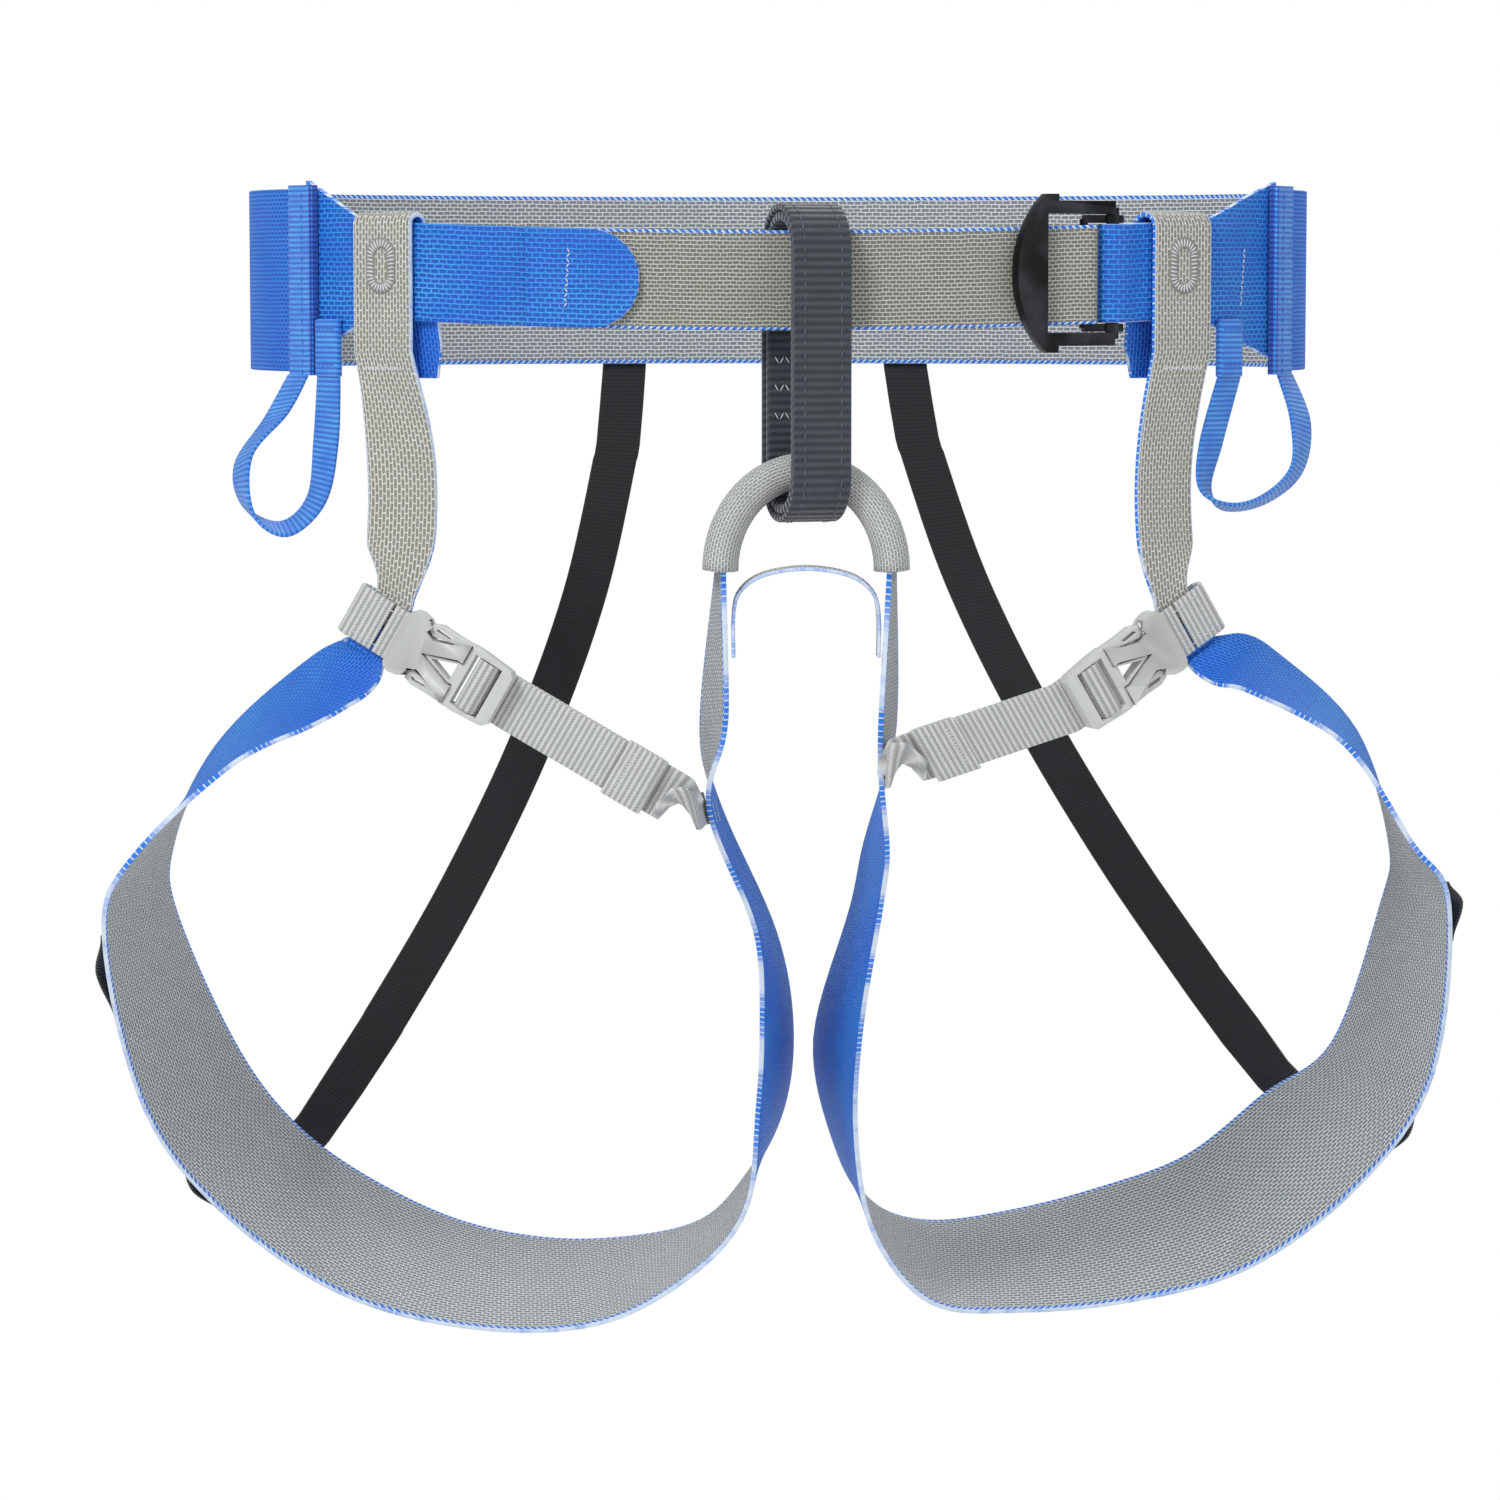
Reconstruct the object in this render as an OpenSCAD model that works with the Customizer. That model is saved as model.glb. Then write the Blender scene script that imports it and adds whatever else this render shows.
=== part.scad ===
// Climbing harness of woven webbing: a waist belt with a two-frame buckle, two leg loops with
// side-release buckles, a belay loop, gear loops, ice screw keepers and rear elastics.
// Millimetres. The origin is the centre of the waist opening, +Z is up and -Y is the front.
// "right" and "left" are the wearer's: the right side is at -X.

/* [Waist belt] */
// Width of the waist opening, to the middle of the webbing
waist_w = 334; // [314:4:366]
// Depth of the waist opening, to the middle of the webbing
waist_d = 210; // [190:5:235]
// Height of the belt band
band_h = 57; // [50:1:64]
// Thickness of the band webbing
band_t = 1.6; // [1.2:0.1:2]
// Where the band ends on the right side, measured from the front
hem_right = 58.5; // [55:0.5:61]
// Where the band ends on the left side, measured from the front
hem_left = 66; // [62:0.5:70]
// Width of the tape over each hem and of the gear loops
tape_w = 10; // [8:1:12]
// Thickness of that tape
tape_t = 1.2; // [0.8:0.1:1.6]

/* [Waist strap] */
// Width of the waist strap
strap_w = 30; // [26:1:32]
// Thickness of the waist strap
strap_t = 2; // [1.6:0.1:2.2]
// How much lower the strap hangs at the belay loop than at the risers
strap_sag = 3; // [0:0.5:4]
// Where the tail of the strap is folded back, from the middle
tail_fold_x = 73; // [66:1:80]
// Length of the folded end of the tail
tail_end_len = 32; // [26:1:40]

/* [Waist buckle] */
// Distance of the buckle's hinge bars from the middle
buckle_x = 101; // [98:0.5:104]
// Length of the main frame, over its locking bar and its hinge bar
frame_len = 38; // [36:1:40]
// Height of the main frame
frame_h = 48; // [46:1:52]
// Thickness of the buckle's plates
frame_t = 3.5; // [3:0.1:4]
// Width of the locking bar
lock_bar_w = 11; // [9:0.5:12]
// Diameter of the hinge bars
bar_d = 4; // [3.4:0.1:4.4]

/* [Risers] */
// Distance of the risers from the middle
riser_x = 120; // [116:1:122]
// Width of the risers
riser_w = 22; // [18:1:23]
// Drop from the waist strap to the leg loops
riser_drop = 106; // [100:1:120]

/* [Leg loops] */
// Width of each leg loop
leg_w = 200; // [180:5:215]
// Height of each leg loop below its hanging points
leg_h = 230; // [215:5:250]
// Depth of each leg loop, front to back
leg_d = 150; // [135:5:165]
// Width of the leg band round the thigh
leg_band_w = 58; // [48:1:62]
// Width of the leg band where it ends in the tie-in bridge
leg_end_w = 20; // [18:1:22]
// Thickness of the leg band
leg_band_t = 1.6; // [1.2:0.1:2]
// Width of the riser and the leg band where the wrap pinches them
leg_pinch_w = 13; // [11:0.5:14]

/* [Leg buckles] */
// Width of the leg straps
leg_strap_w = 16.5; // [14:0.5:17]
// Thickness of the leg straps
leg_strap_t = 1.4; // [1:0.1:1.6]
// Width of the leg buckles
clip_w = 21; // [20:0.5:24]
// Length of a closed leg buckle
clip_len = 38; // [37:0.5:42]
// Thickness of a leg buckle
clip_t = 7; // [6.5:0.1:8]

/* [Tie-in and belay loop] */
// Height of the belay loop
belay_h = 96; // [88:1:104]
// Width of the belay loop
belay_w = 18.5; // [16:0.5:20]
// Gap inside the belay loop between its front and its back
belay_gap = 18.5; // [17:0.5:22]
// Thickness of the belay loop's load-bearing ply
belay_t = 3; // [2.5:0.1:3.4]
// Thickness of its wear cover
cover_t = 2; // [1.4:0.1:2.2]
// Angle that the belay loop is turned by, seen from above
belay_turn = 20; // [10:1:25]
// Distance between the feet of the tie-in bridge
bridge_w = 52; // [48:1:60]
// Height of the tie-in bridge's arch
bridge_h = 30; // [26:1:34]
// Thickness of the bridge's sheath, seen from the front
sheath_w = 11; // [10:0.5:12]
// Depth of the bridge's sheath inside the belay loop
sheath_d = 10; // [9:0.5:11]

/* [Rear elastics and keepers] */
// Width of the rear elastics
elastic_w = 15; // [12:1:18]
// Thickness of the rear elastics
elastic_t = 1.5; // [1.2:0.1:1.8]
// Width of the ice screw keepers
keeper_w = 18; // [14:1:20]
// How far a keeper stands off the leg band
keeper_rise = 3.5; // [2.5:0.5:6]

/* [Hidden] */
$fn = 32;

blue = "#2E7FE0";
grey = "#C3C6C0";
charcoal = "#343C46";
black = "#15171B";
thread = "#D9DADF";

ply_gap = 0.5;        // between two layers of webbing that lie on each other
clear = 0.3;          // between pieces that could touch
stitch_t = 0.5;       // thickness of a bar of stitching
side_x = [-1, 1];     // the sign of X on the right and the left side

// ---------- curves and webbing ----------

function unit(v) = v / norm(v);
function mix(a, b, k) = a + (b - a) * k;

// A smooth curve through the rows, cut into steps between each two of them
function curve_at(p, q, r, s, t) =
  0.5 * (2 * q + (r - p) * t + (2 * p - 5 * q + 4 * r - s) * t * t + (3 * q - p - 3 * r + s) * t * t * t);
function smooth(rows, steps) = let (last = len(rows) - 1) [
  for (i = [0 : last - 1], k = [0 : steps - 1])
    curve_at(rows[max(i - 1, 0)], rows[i], rows[i + 1], rows[min(i + 2, last)], k / steps),
  rows[last]];

// A row is [x, y, z, across x, across y, across z, width]: the middle of the webbing, the
// direction from one edge to the other, and the distance between them.
function row_at(place, across, width) = let (a = unit(across)) concat(place, a, [width]);
function middle(row) = [row[0], row[1], row[2]];
function across(row) = unit([row[3], row[4], row[5]]);
function along(rows, i) = unit(middle(rows[min(i + 1, len(rows) - 1)]) - middle(rows[max(i - 1, 0)]));
function face(rows, i) = unit(cross(along(rows, i), across(rows[i])));

// A ribbon along the rows, lifted off them by lift on its face side
module webbing(rows, thick, lift = 0) {
  corners = [[-1, -1], [1, -1], [1, 1], [-1, 1]];
  n = len(rows);
  points = [for (i = [0 : n - 1], c = corners)
    middle(rows[i]) + across(rows[i]) * rows[i][6] / 2 * c[0] + face(rows, i) * (lift + thick / 2 * c[1])];
  walls = [for (i = [0 : n - 2], k = [0 : 3])
    let (a = 4 * i + k, b = 4 * i + (k + 1) % 4) each [[a, a + 4, b + 4], [a, b + 4, b]]];
  last = 4 * (n - 1);
  polyhedron(points, concat(walls, [[0, 1, 2, 3], [last + 3, last + 2, last + 1, last]]));
}

// ---------- the waist belt's plan ----------

rx = waist_w / 2;
ry = waist_d / 2;
belt_angle_of = function (x) asin(x / rx);

// A place on the belt: the angle from the front, the distance off the belt's line, the height
function belt_at(angle, out, z) = [(rx + out) * sin(angle), -(ry + out) * cos(angle), z];
function belt_out(angle) = unit([ry * sin(angle), -rx * cos(angle), 0]);
function belt_tangent(angle) = unit([rx * cos(angle), ry * sin(angle), 0]);
function belt_row(x, out, width, z) = row_at(belt_at(belt_angle_of(x), out, z), [0, 0, 1], width);
function strap_z(x) = strap_sag * pow(min(abs(x) / riser_x, 1), 2);

layer = strap_t + ply_gap;              // from one strap layer to the next
band_out = (strap_t + band_t) / 2 + ply_gap;
tape_out = band_out + (band_t + tape_t) / 2 + clear;

// The band, round the back from hem to hem
module waistbelt_band() color(blue) {
  step = 4;
  angles = [for (a = [hem_left : step : 360 - hem_right - step / 2]) a, 360 - hem_right];
  inner = [for (a = angles) let (p = belt_at(a, band_out - band_t / 2, 0)) [p[0], p[1]]];
  outer = [for (a = angles) let (p = belt_at(a, band_out + band_t / 2, 0)) [p[0], p[1]]];
  n = len(angles);
  translate([0, 0, -band_h / 2]) linear_extrude(band_h)
    polygon(concat(outer, [for (i = [0 : n - 1]) inner[n - 1 - i]]));
}

// ---------- the waist strap ----------

panel_x = 128;                           // the side panel has narrowed to the strap here
hem_lap = 3;                             // degrees that a side panel runs on under the band
slide_bar_t = 2.6;
slide_bar_x = buckle_x - 9;
wrap_r = slide_bar_t / 2 + ply_gap + strap_t / 2;
mid = layer / 2;                         // between the two layers of strap: the buckle's plane
tail_layer = 2 * layer;

// Height of a side panel at x: the band's height at the hem, the strap's at panel_x
function panel_height(x, hem_x) =
  abs(x) > panel_x ? mix(strap_w, band_h - 1, min((abs(x) - panel_x) / (hem_x - panel_x), 1)) : strap_w;
function ease(k) = let (c = min(max(k, 0), 1)) c * c * (3 - 2 * c);

hem_x_right = rx * sin(hem_right + hem_lap);
hem_x_left = rx * sin(hem_left + hem_lap);
fold_r = layer / 2;
function near(x, centre, reach) = ease(1 - abs(x - centre) / reach);   // 1 at the centre, 0 past the reach
tip_x = -tail_fold_x + tail_end_len;

waist_strap_rows = concat(
  [for (k = [0 : 24]) let (x = mix(-hem_x_right, slide_bar_x, k / 24))
    belt_row(x, mix(0, mid - wrap_r, near(x, slide_bar_x, 10)), panel_height(x, hem_x_right), strap_z(x))],
  [for (k = [-60 : 30 : 90]) belt_row(slide_bar_x + wrap_r * cos(k), mid + wrap_r * sin(k), strap_w,
    strap_z(slide_bar_x))],
  [for (k = [1 : 20]) let (x = mix(slide_bar_x, -tail_fold_x, k / 20))
    belt_row(x, mix(layer, mid + wrap_r, near(x, slide_bar_x, 10)), strap_w, strap_z(x))],
  [for (k = [-60 : 30 : 60]) belt_row(-tail_fold_x - fold_r * cos(k), layer + fold_r * (1 + sin(k)),
    strap_w, strap_z(tail_fold_x))],
  [for (k = [0 : 3]) let (x = mix(-tail_fold_x, tip_x - strap_w / 2, k / 3))
    belt_row(x, tail_layer, strap_w, strap_z(x))],
  [for (k = [15 : 15 : 75]) let (x = tip_x - strap_w / 2 * (1 - sin(k)))
    belt_row(x, tail_layer, strap_w * cos(k), strap_z(x))]);

module waist_strap() color(blue) webbing(waist_strap_rows, strap_t);

// The anchor strap comes from the left hem and loops round the buckle's hinge bars
loop_r = bar_d / 2 + clear + strap_t / 2;
anchor_end_x = buckle_x + 26;
loop_reach = riser_x - riser_w / 2 - buckle_x + 1;      // the loop has closed at the riser's edge
panel_out = function (x) layer * ease((hem_x_left - 8 - x) / 16);
anchor_rows = concat(
  [for (k = [0 : 8]) let (x = mix(hem_x_left, panel_x + 6, k / 8))
    belt_row(x, panel_out(x), panel_height(x, hem_x_left), strap_z(x))],
  [for (k = [0 : 8]) let (x = mix(panel_x, buckle_x + 1, k / 8))
    belt_row(x, mix(layer, mid + loop_r, near(x, buckle_x, loop_reach)), strap_w, strap_z(x))],
  [for (k = [90 : 30 : 270]) belt_row(buckle_x + loop_r * cos(k), mid + loop_r * sin(k), strap_w,
    strap_z(buckle_x))],
  [for (k = [1 : 8]) let (x = mix(buckle_x, anchor_end_x, k / 8))
    belt_row(x, mix(0, mid - loop_r, near(x, buckle_x, loop_reach)), strap_w, strap_z(x))]);

module waist_anchor_strap() color(blue) webbing(anchor_rows, strap_t);

// The tape that covers each hem
module hem_tape(angle) {
  half = asin(tape_w / 2 / ry) * 0.75;
  color(blue) webbing([for (k = [-1, 0, 1])
    row_at(belt_at(angle + k * half, tape_out, 0), [0, 0, 1], band_h + 2)], tape_t);
}
hem_in = 3;             // degrees from the band's end to the middle of its tape
tape_right = -hem_right - hem_in;
tape_left = hem_left + hem_in;
module hem_tape_right() hem_tape(tape_right);
module hem_tape_left() hem_tape(tape_left);

// ---------- the waist buckle ----------

// Puts its children at the buckle: +X along the strap, +Y up, +Z out of the strap's face
module at_buckle(x, out) {
  angle = belt_angle_of(x);
  t = belt_tangent(angle);
  n = belt_out(angle);
  o = belt_at(angle, out, strap_z(x));
  multmatrix([[t[0], 0, n[0], o[0]], [t[1], 0, n[1], o[1]], [0, 1, 0, o[2]]]) children();
}

arm_w = 4;
slider_arm_w = 2.4;
slider_arm_y = strap_w / 2 + clear + slider_arm_w / 2;
arm_y = slider_arm_y + slider_arm_w / 2 + clear + arm_w / 2;
lock_lift = layer + strap_t / 2 + clear + frame_t / 2 - mid;   // locking bar over the strap

// The main frame: a wide locking bar, two arms and a round hinge bar in the anchor loop
module waist_buckle_frame() color(black) at_buckle(buckle_x, mid) rotate([0, frame_tilt, 0]) {
  rotate([90, 0, 0]) cylinder(h = 2 * arm_y, d = bar_d, center = true);
  translate([-frame_reach, 0, -frame_t / 2]) linear_extrude(frame_t) lock_plate();
  for (s = side_x) translate([lock_bar_w - 1 - frame_reach, s * arm_y - arm_w / 2, -frame_t / 2])
    cube([frame_reach - lock_bar_w + 1, arm_w, frame_t]);
}
frame_reach = frame_len - bar_d / 2;
belt_r = pow(pow(rx * cos(belt_angle_of(buckle_x)), 2) + pow(ry * sin(belt_angle_of(buckle_x)), 2), 1.5)
  / (rx * ry);                           // the belt's radius at the buckle
frame_tilt = atan((lock_lift - pow(frame_reach - lock_bar_w, 2) / (2 * belt_r)) / (frame_reach - lock_bar_w));

// The locking bar's plate, bowed outward, in the plane of the frame
module lock_plate() intersection() {
  translate([0, -frame_h / 2]) square([lock_bar_w + 4, frame_h]);
  difference() {
    translate([32, 0]) circle(r = 32, $fn = 96);
    translate([lock_bar_w, -arm_y + arm_w / 2]) square([20, 2 * arm_y - arm_w]);
  }
}

// The slider: a bar that the strap turns round, on two arms with eyes round the hinge bar
module waist_buckle_slider() color(black) at_buckle(buckle_x, mid) {
  back = norm(belt_at(belt_angle_of(slide_bar_x), mid, 0) - belt_at(belt_angle_of(buckle_x), mid, 0));
  dip = atan(back / 2 / belt_r);
  rotate([0, -dip, 0]) {
    translate([-back, 0, 0]) rotate([90, 0, 0])
      cylinder(h = 2 * slider_arm_y, d = slide_bar_t, center = true);
    for (s = side_x) translate([0, s * slider_arm_y, 0]) rotate([90, 0, 0])
      linear_extrude(slider_arm_w, center = true) difference() {
        union() {
          circle(d = bar_d + 3);
          translate([-back, -slide_bar_t / 2]) square([back, slide_bar_t]);
        }
        circle(d = bar_d + 2 * clear);
      }
  }
}

// ---------- risers ----------

riser_t = 1.6;
riser_gap = 0.9;                         // a riser is flat and the strap behind it curves
riser_bow = 4;                           // how far a riser bows in toward the middle
riser_top_z = strap_z(riser_x) + strap_w / 2;
riser_tab_z = -30;                       // the riser's tab ends here behind the strap
riser_lean = [8, 4];                     // how far that end leans toward the middle, on each side

// The strap layers that a riser wraps: their middle and half of their thickness
function riser_core(s) = s < 0 ? [0, strap_t / 2] : [layer / 2, (layer + strap_t) / 2];
riser_turn = [-12, 36];                  // how far each riser's face turns to the side lower down

function riser_rows(s) = let (
    core = riser_core(s),
    r = core[1] + riser_gap + riser_t / 2,
    angle = belt_angle_of(s * riser_x),
    tangent = belt_tangent(angle),
    top = riser_top_z - core[1] + 0.4,
    foot = wrap_spot(s, wrap_half + 1),
    into = clip_dir[side_i(s)] * -s,
    turn = s < 0 ? riser_turn[0] : riser_turn[1],
    place = function (out, z) belt_at(angle, core[0] + out, z))
  concat(
    [for (z = [riser_tab_z, -10, 10]) let (lean = riser_lean[side_i(s)] * (top - z) / (top - riser_tab_z))
      row_at(place(-r, z) - tangent * s * lean, tangent, riser_w)],
    [for (k = [180 : -30 : 0]) row_at(place(r * cos(k), top + r * sin(k)), tangent, riser_w)],
    [for (z = [10, -6, -22]) row_at(place(r, z), tangent, riser_w)],
    [for (k = [1 : 8]) let (f = k / 8, sight = [cos(turn), sin(turn), 0])
      row_at(mix(place(r, -22), foot, f) - [s * riser_bow * sin(180 * f), 0, 0],
        mix(mix(tangent, sight, ease(2 * f)), into, ease(4 * f - 3)),
        mix(riser_w, leg_pinch_w, ease(4 * f - 3)))],
    [row_at(wrap_spot(s, clear), into, leg_pinch_w)]);

module riser(s) color(grey) webbing(riser_rows(s), riser_t);
module riser_right() riser(-1);
module riser_left() riser(1);

// ---------- tie-in bridge and belay loop ----------

bridge_x = 8;                            // middle of the bridge
bridge_y = -ry - layer / 2;
belay_r = belay_gap / 2;
swing_room = 1.2;                        // lets the loop swing on the strap with the leg loops
// The belay loop's round inside rests on the corners of the strap's upper edge
strap_corner = belay_w / 2 * sin(belay_turn) + (layer + strap_t) / 2 * cos(belay_turn);
belay_top = strap_w / 2 + belay_r - sqrt(belay_r * belay_r - strap_corner * strap_corner) + swing_room;
belay_wall = belay_t + cover_t + clear;
belay_bottom = belay_top + 2 * belay_wall - belay_h;     // its inside bottom carries the bridge
arch_reach = belay_w / 2 + sheath_d / 2 * sin(belay_turn);   // the loop's edges meet the arch here
arch_drop = bridge_h * (1 - sin(acos(2 * arch_reach / bridge_w)));
bridge_room = 1.9;                       // the sheath is round and the loop's edges are square
bridge_top = belay_bottom + bridge_room + sheath_w / 2 + arch_drop;
foot_z = bridge_top - bridge_h;

// The arch's middle line, at an angle from its left foot
function arch(angle) = [bridge_x + bridge_w / 2 * cos(angle), bridge_y, foot_z + bridge_h * sin(angle)];
front_back = [0, -1, 0];
sheath_wall = 1.2;
core_w = sheath_d - 2 * sheath_wall - 2;
sheath_foot_d = leg_end_w + 2 * sheath_wall + 3;

module bridge_sheath() color(grey)
  sleeve([for (k = [0 : 15 : 180]) row_at(arch(k), front_back, mix(sheath_foot_d, sheath_d, ease(sin(k) * 1.3)))],
    sheath_w, sheath_wall);

module bridge_core() color(grey)
  webbing([for (k = [12 : 13 : 168]) row_at(arch(k), front_back, core_w)], core_w * 0.7);

// A closed tube of oval section, thick from face to face
module sleeve(rows, thick, wall) {
  ring = [for (k = [0 : 22.5 : 337.5]) [cos(k), sin(k)]];
  m = len(ring);
  n = len(rows);
  points = [for (i = [0 : n - 1], in = [0, wall], c = ring)
    middle(rows[i]) + across(rows[i]) * (rows[i][6] / 2 - in) * c[0] + face(rows, i) * (thick / 2 - in) * c[1]];
  walls = [for (i = [0 : n - 2], k = [0 : m - 1])
    let (a = 2 * m * i + k, b = 2 * m * i + (k + 1) % m, up = 2 * m)
    each [[a, a + up, b + up], [a, b + up, b], [a + m, b + up + m, a + up + m], [a + m, b + m, b + up + m]]];
  last = 2 * m * (n - 1);
  caps = [for (k = [0 : m - 1]) let (j = (k + 1) % m)
    each [[k, j, j + m], [k, j + m, k + m],
          [last + k, last + j + m, last + j], [last + k, last + k + m, last + j + m]]];
  polyhedron(points, concat(walls, caps));
}

module stadium(radius, length) {
  for (s = side_x) translate([0, s * length / 2]) circle(r = radius, $fn = 64);
  square([2 * radius, length], center = true);
}

// One ply of the belay loop: a racetrack ring, turned about the upright axis
module belay_ply(inner_r, thick, wide)
  translate([bridge_x, bridge_y, (belay_top + belay_bottom) / 2]) rotate([0, 0, belay_turn])
    rotate([90, 0, 90]) linear_extrude(wide, center = true) difference() {
      straight = belay_top - belay_bottom - belay_gap;
      stadium(inner_r + thick, straight);
      stadium(inner_r, straight);
    }
module belay_loop_core() color(charcoal) belay_ply(belay_gap / 2, belay_t, belay_w - 1);
module belay_loop_cover() color(charcoal) belay_ply(belay_gap / 2 + belay_t + clear, cover_t, belay_w);

// Three bars of stitching on the back of the belay loop, below the strap
module belay_loop_stitching() color(thread)
  for (z = [-24, -32.5, -41]) translate([bridge_x, bridge_y, z]) rotate([0, 0, belay_turn])
    translate([0, belay_gap / 2 + belay_wall + clear / 2, 0])
      translate([-belay_w * 0.35, 0, -1]) cube([belay_w * 0.7, stitch_t, 2]);

// ---------- leg buckles ----------

// A leg buckle's frame: where its webbing edge is, the way it points, and the way it faces
wrap_reach = 7.2;                        // from the middle of the wrap to the buckle's edge
slot_bar = [3, -1.2];                    // the socket's slot bar: its place along the buckle and off its middle
slot_bar_r = 1.2;
wrap_r_leg = slot_bar_r + clear + leg_strap_t / 2;
clip_at = [[-riser_x + 3, -ry + 19, -riser_drop - 3], [riser_x, -ry + 19, -riser_drop - 3]];
clip_dir = [unit([0.84, -0.19, -0.51]), unit([-0.77, -0.35, -0.53])];
clip_up = [unit([-0.226, -1, 0]), unit([0.4545, -1, 0])];
side_i = function (s) s < 0 ? 0 : 1;

// A place in a leg buckle's frame, and a direction in it
function clip_turn(s, v) = let (i = side_i(s), x = clip_dir[i], z = clip_up[i], y = cross(z, x))
  x * v[0] + y * v[1] + z * v[2];
function clip_place(s, v) = clip_at[side_i(s)] + clip_turn(s, v);
module at_clip(s) {
  x = clip_turn(s, [1, 0, 0]);
  y = clip_turn(s, [0, 1, 0]);
  z = clip_turn(s, [0, 0, 1]);
  o = clip_place(s, [0, 0, 0]);
  multmatrix([[x[0], y[0], z[0], o[0]], [x[1], y[1], z[1], o[1]], [x[2], y[2], z[2], o[2]]]) children();
}
module both_sides() for (s = side_x) scale([1, s, 1]) children();
module plate(thick) translate([0, 0, -thick / 2]) linear_extrude(thick) children();

half_w = clip_w / 2;
seam_x = clip_len * 0.59;                // where the socket's legs meet the frame
ear_x = 7.5;                             // the tips of the frame's ears
window_x = seam_x + 2;
bar_x = clip_len - 4;                    // inner edge of the frame's end bar
tongue_tip = 9.5;
core_t = clip_t - 3.4;                   // thickness of the ears inside the socket

// The socket: a head that holds the wrap, a neck and two legs, hollow for the frame's ears
module socket_outline() polygon([
  [0, 0], [0, half_w - 2], [1, half_w - 0.5], [3, half_w], [6, half_w - 0.6], [8.6, half_w - 2.2],
  [7.6, half_w - 4], [10.6, half_w - 5.4], [16.3, half_w - 3.4], [seam_x - 0.2, half_w - 0.2],
  [seam_x - 0.2, half_w - 6.5], [seam_x - 2, half_w - 6.3], [tongue_tip - 0.2, 0]]);
module leg_clip_socket(s) color(grey) at_clip(s) {
  translate([slot_bar[0], 0, slot_bar[1]]) rotate([90, 0, 0])
    cylinder(h = clip_w - 2, r = slot_bar_r, center = true);
  socket_shell();
}
module socket_shell() difference() {
  plate(clip_t) both_sides() socket_outline();
  // mouth for the wrap, open below, under the head's top face
  mouth = slot_bar[0] + wrap_r_leg + leg_strap_t / 2 + clear;
  top = slot_bar[1] + wrap_r_leg + leg_strap_t / 2 + clear;
  translate([-1, -leg_strap_w / 2 - 0.5, top - 2 * clip_t]) cube([mouth + 1, leg_strap_w + 1, 2 * clip_t]);
  // room for the ears between the two faces
  for (k = side_x) translate([0, k * half_w, 0]) plate(core_t + 2 * clear)
    translate([6, k < 0 ? -0.5 : -5.2]) square([seam_x, 5.7]);
}
module leg_clip_socket_right() leg_clip_socket(-1);
module leg_clip_socket_left() leg_clip_socket(1);

// The frame: a tongue between the socket's legs, two ears at its sides, and a ladder for the strap
module frame_ear() difference() {
  polygon([[seam_x, half_w], [16, half_w - 0.2], [10.7, half_w], [8.2, half_w - 1], [ear_x, half_w - 3],
    [9.6, half_w - 4.4], [16.5, half_w - 3], [seam_x, half_w - 4]]);
  polygon([[15.5, half_w - 1.6], [10.6, half_w - 1.4], [9.6, half_w - 2.4], [14.5, half_w - 2.6]]);
}
module frame_tongue() difference() {
  polygon([[tongue_tip + 0.6, 0], [seam_x - 1.6, half_w - 6.9], [seam_x, half_w - 7], [seam_x + 1, 0]]);
  polygon([[tongue_tip + 3, -0.1], [seam_x - 1.5, 3], [seam_x - 1.5, -0.1]]);
}
module frame_body() difference() {
  polygon([[seam_x, 0], [seam_x, half_w], [seam_x + 4, half_w], [clip_len - 1.5, half_w - 0.8],
    [clip_len, half_w - 2.3], [clip_len, 0]]);
  translate([window_x, -1]) square([bar_x - window_x, 1 + leg_strap_w / 2 + 0.3]);
}
ladder_x = (window_x + bar_x) / 2;       // middle of the bar that the strap turns round
module leg_clip_frame(s) color(grey) at_clip(s) {
  plate(clip_t - 2) both_sides() {
    frame_tongue();
    frame_body();
  }
  plate(core_t) both_sides() frame_ear();
  translate([ladder_x - 1.4, -half_w + 1, -1.2]) cube([2.8, clip_w - 2, 2.4]);
}
module leg_clip_frame_right() leg_clip_frame(-1);
module leg_clip_frame_left() leg_clip_frame(1);

// ---------- leg loops ----------

// The middle of a wrap, and a place above or below it where the riser and the leg band go through
wrap_half = leg_strap_w / 2;
wrap_middle = [for (s = side_x) clip_place(s, [-wrap_reach, 0, slot_bar[1]])];
function wrap_spot(s, rise) = wrap_middle[side_i(s)] - clip_turn(s, [0, 1, 0]) * s * rise;

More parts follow.
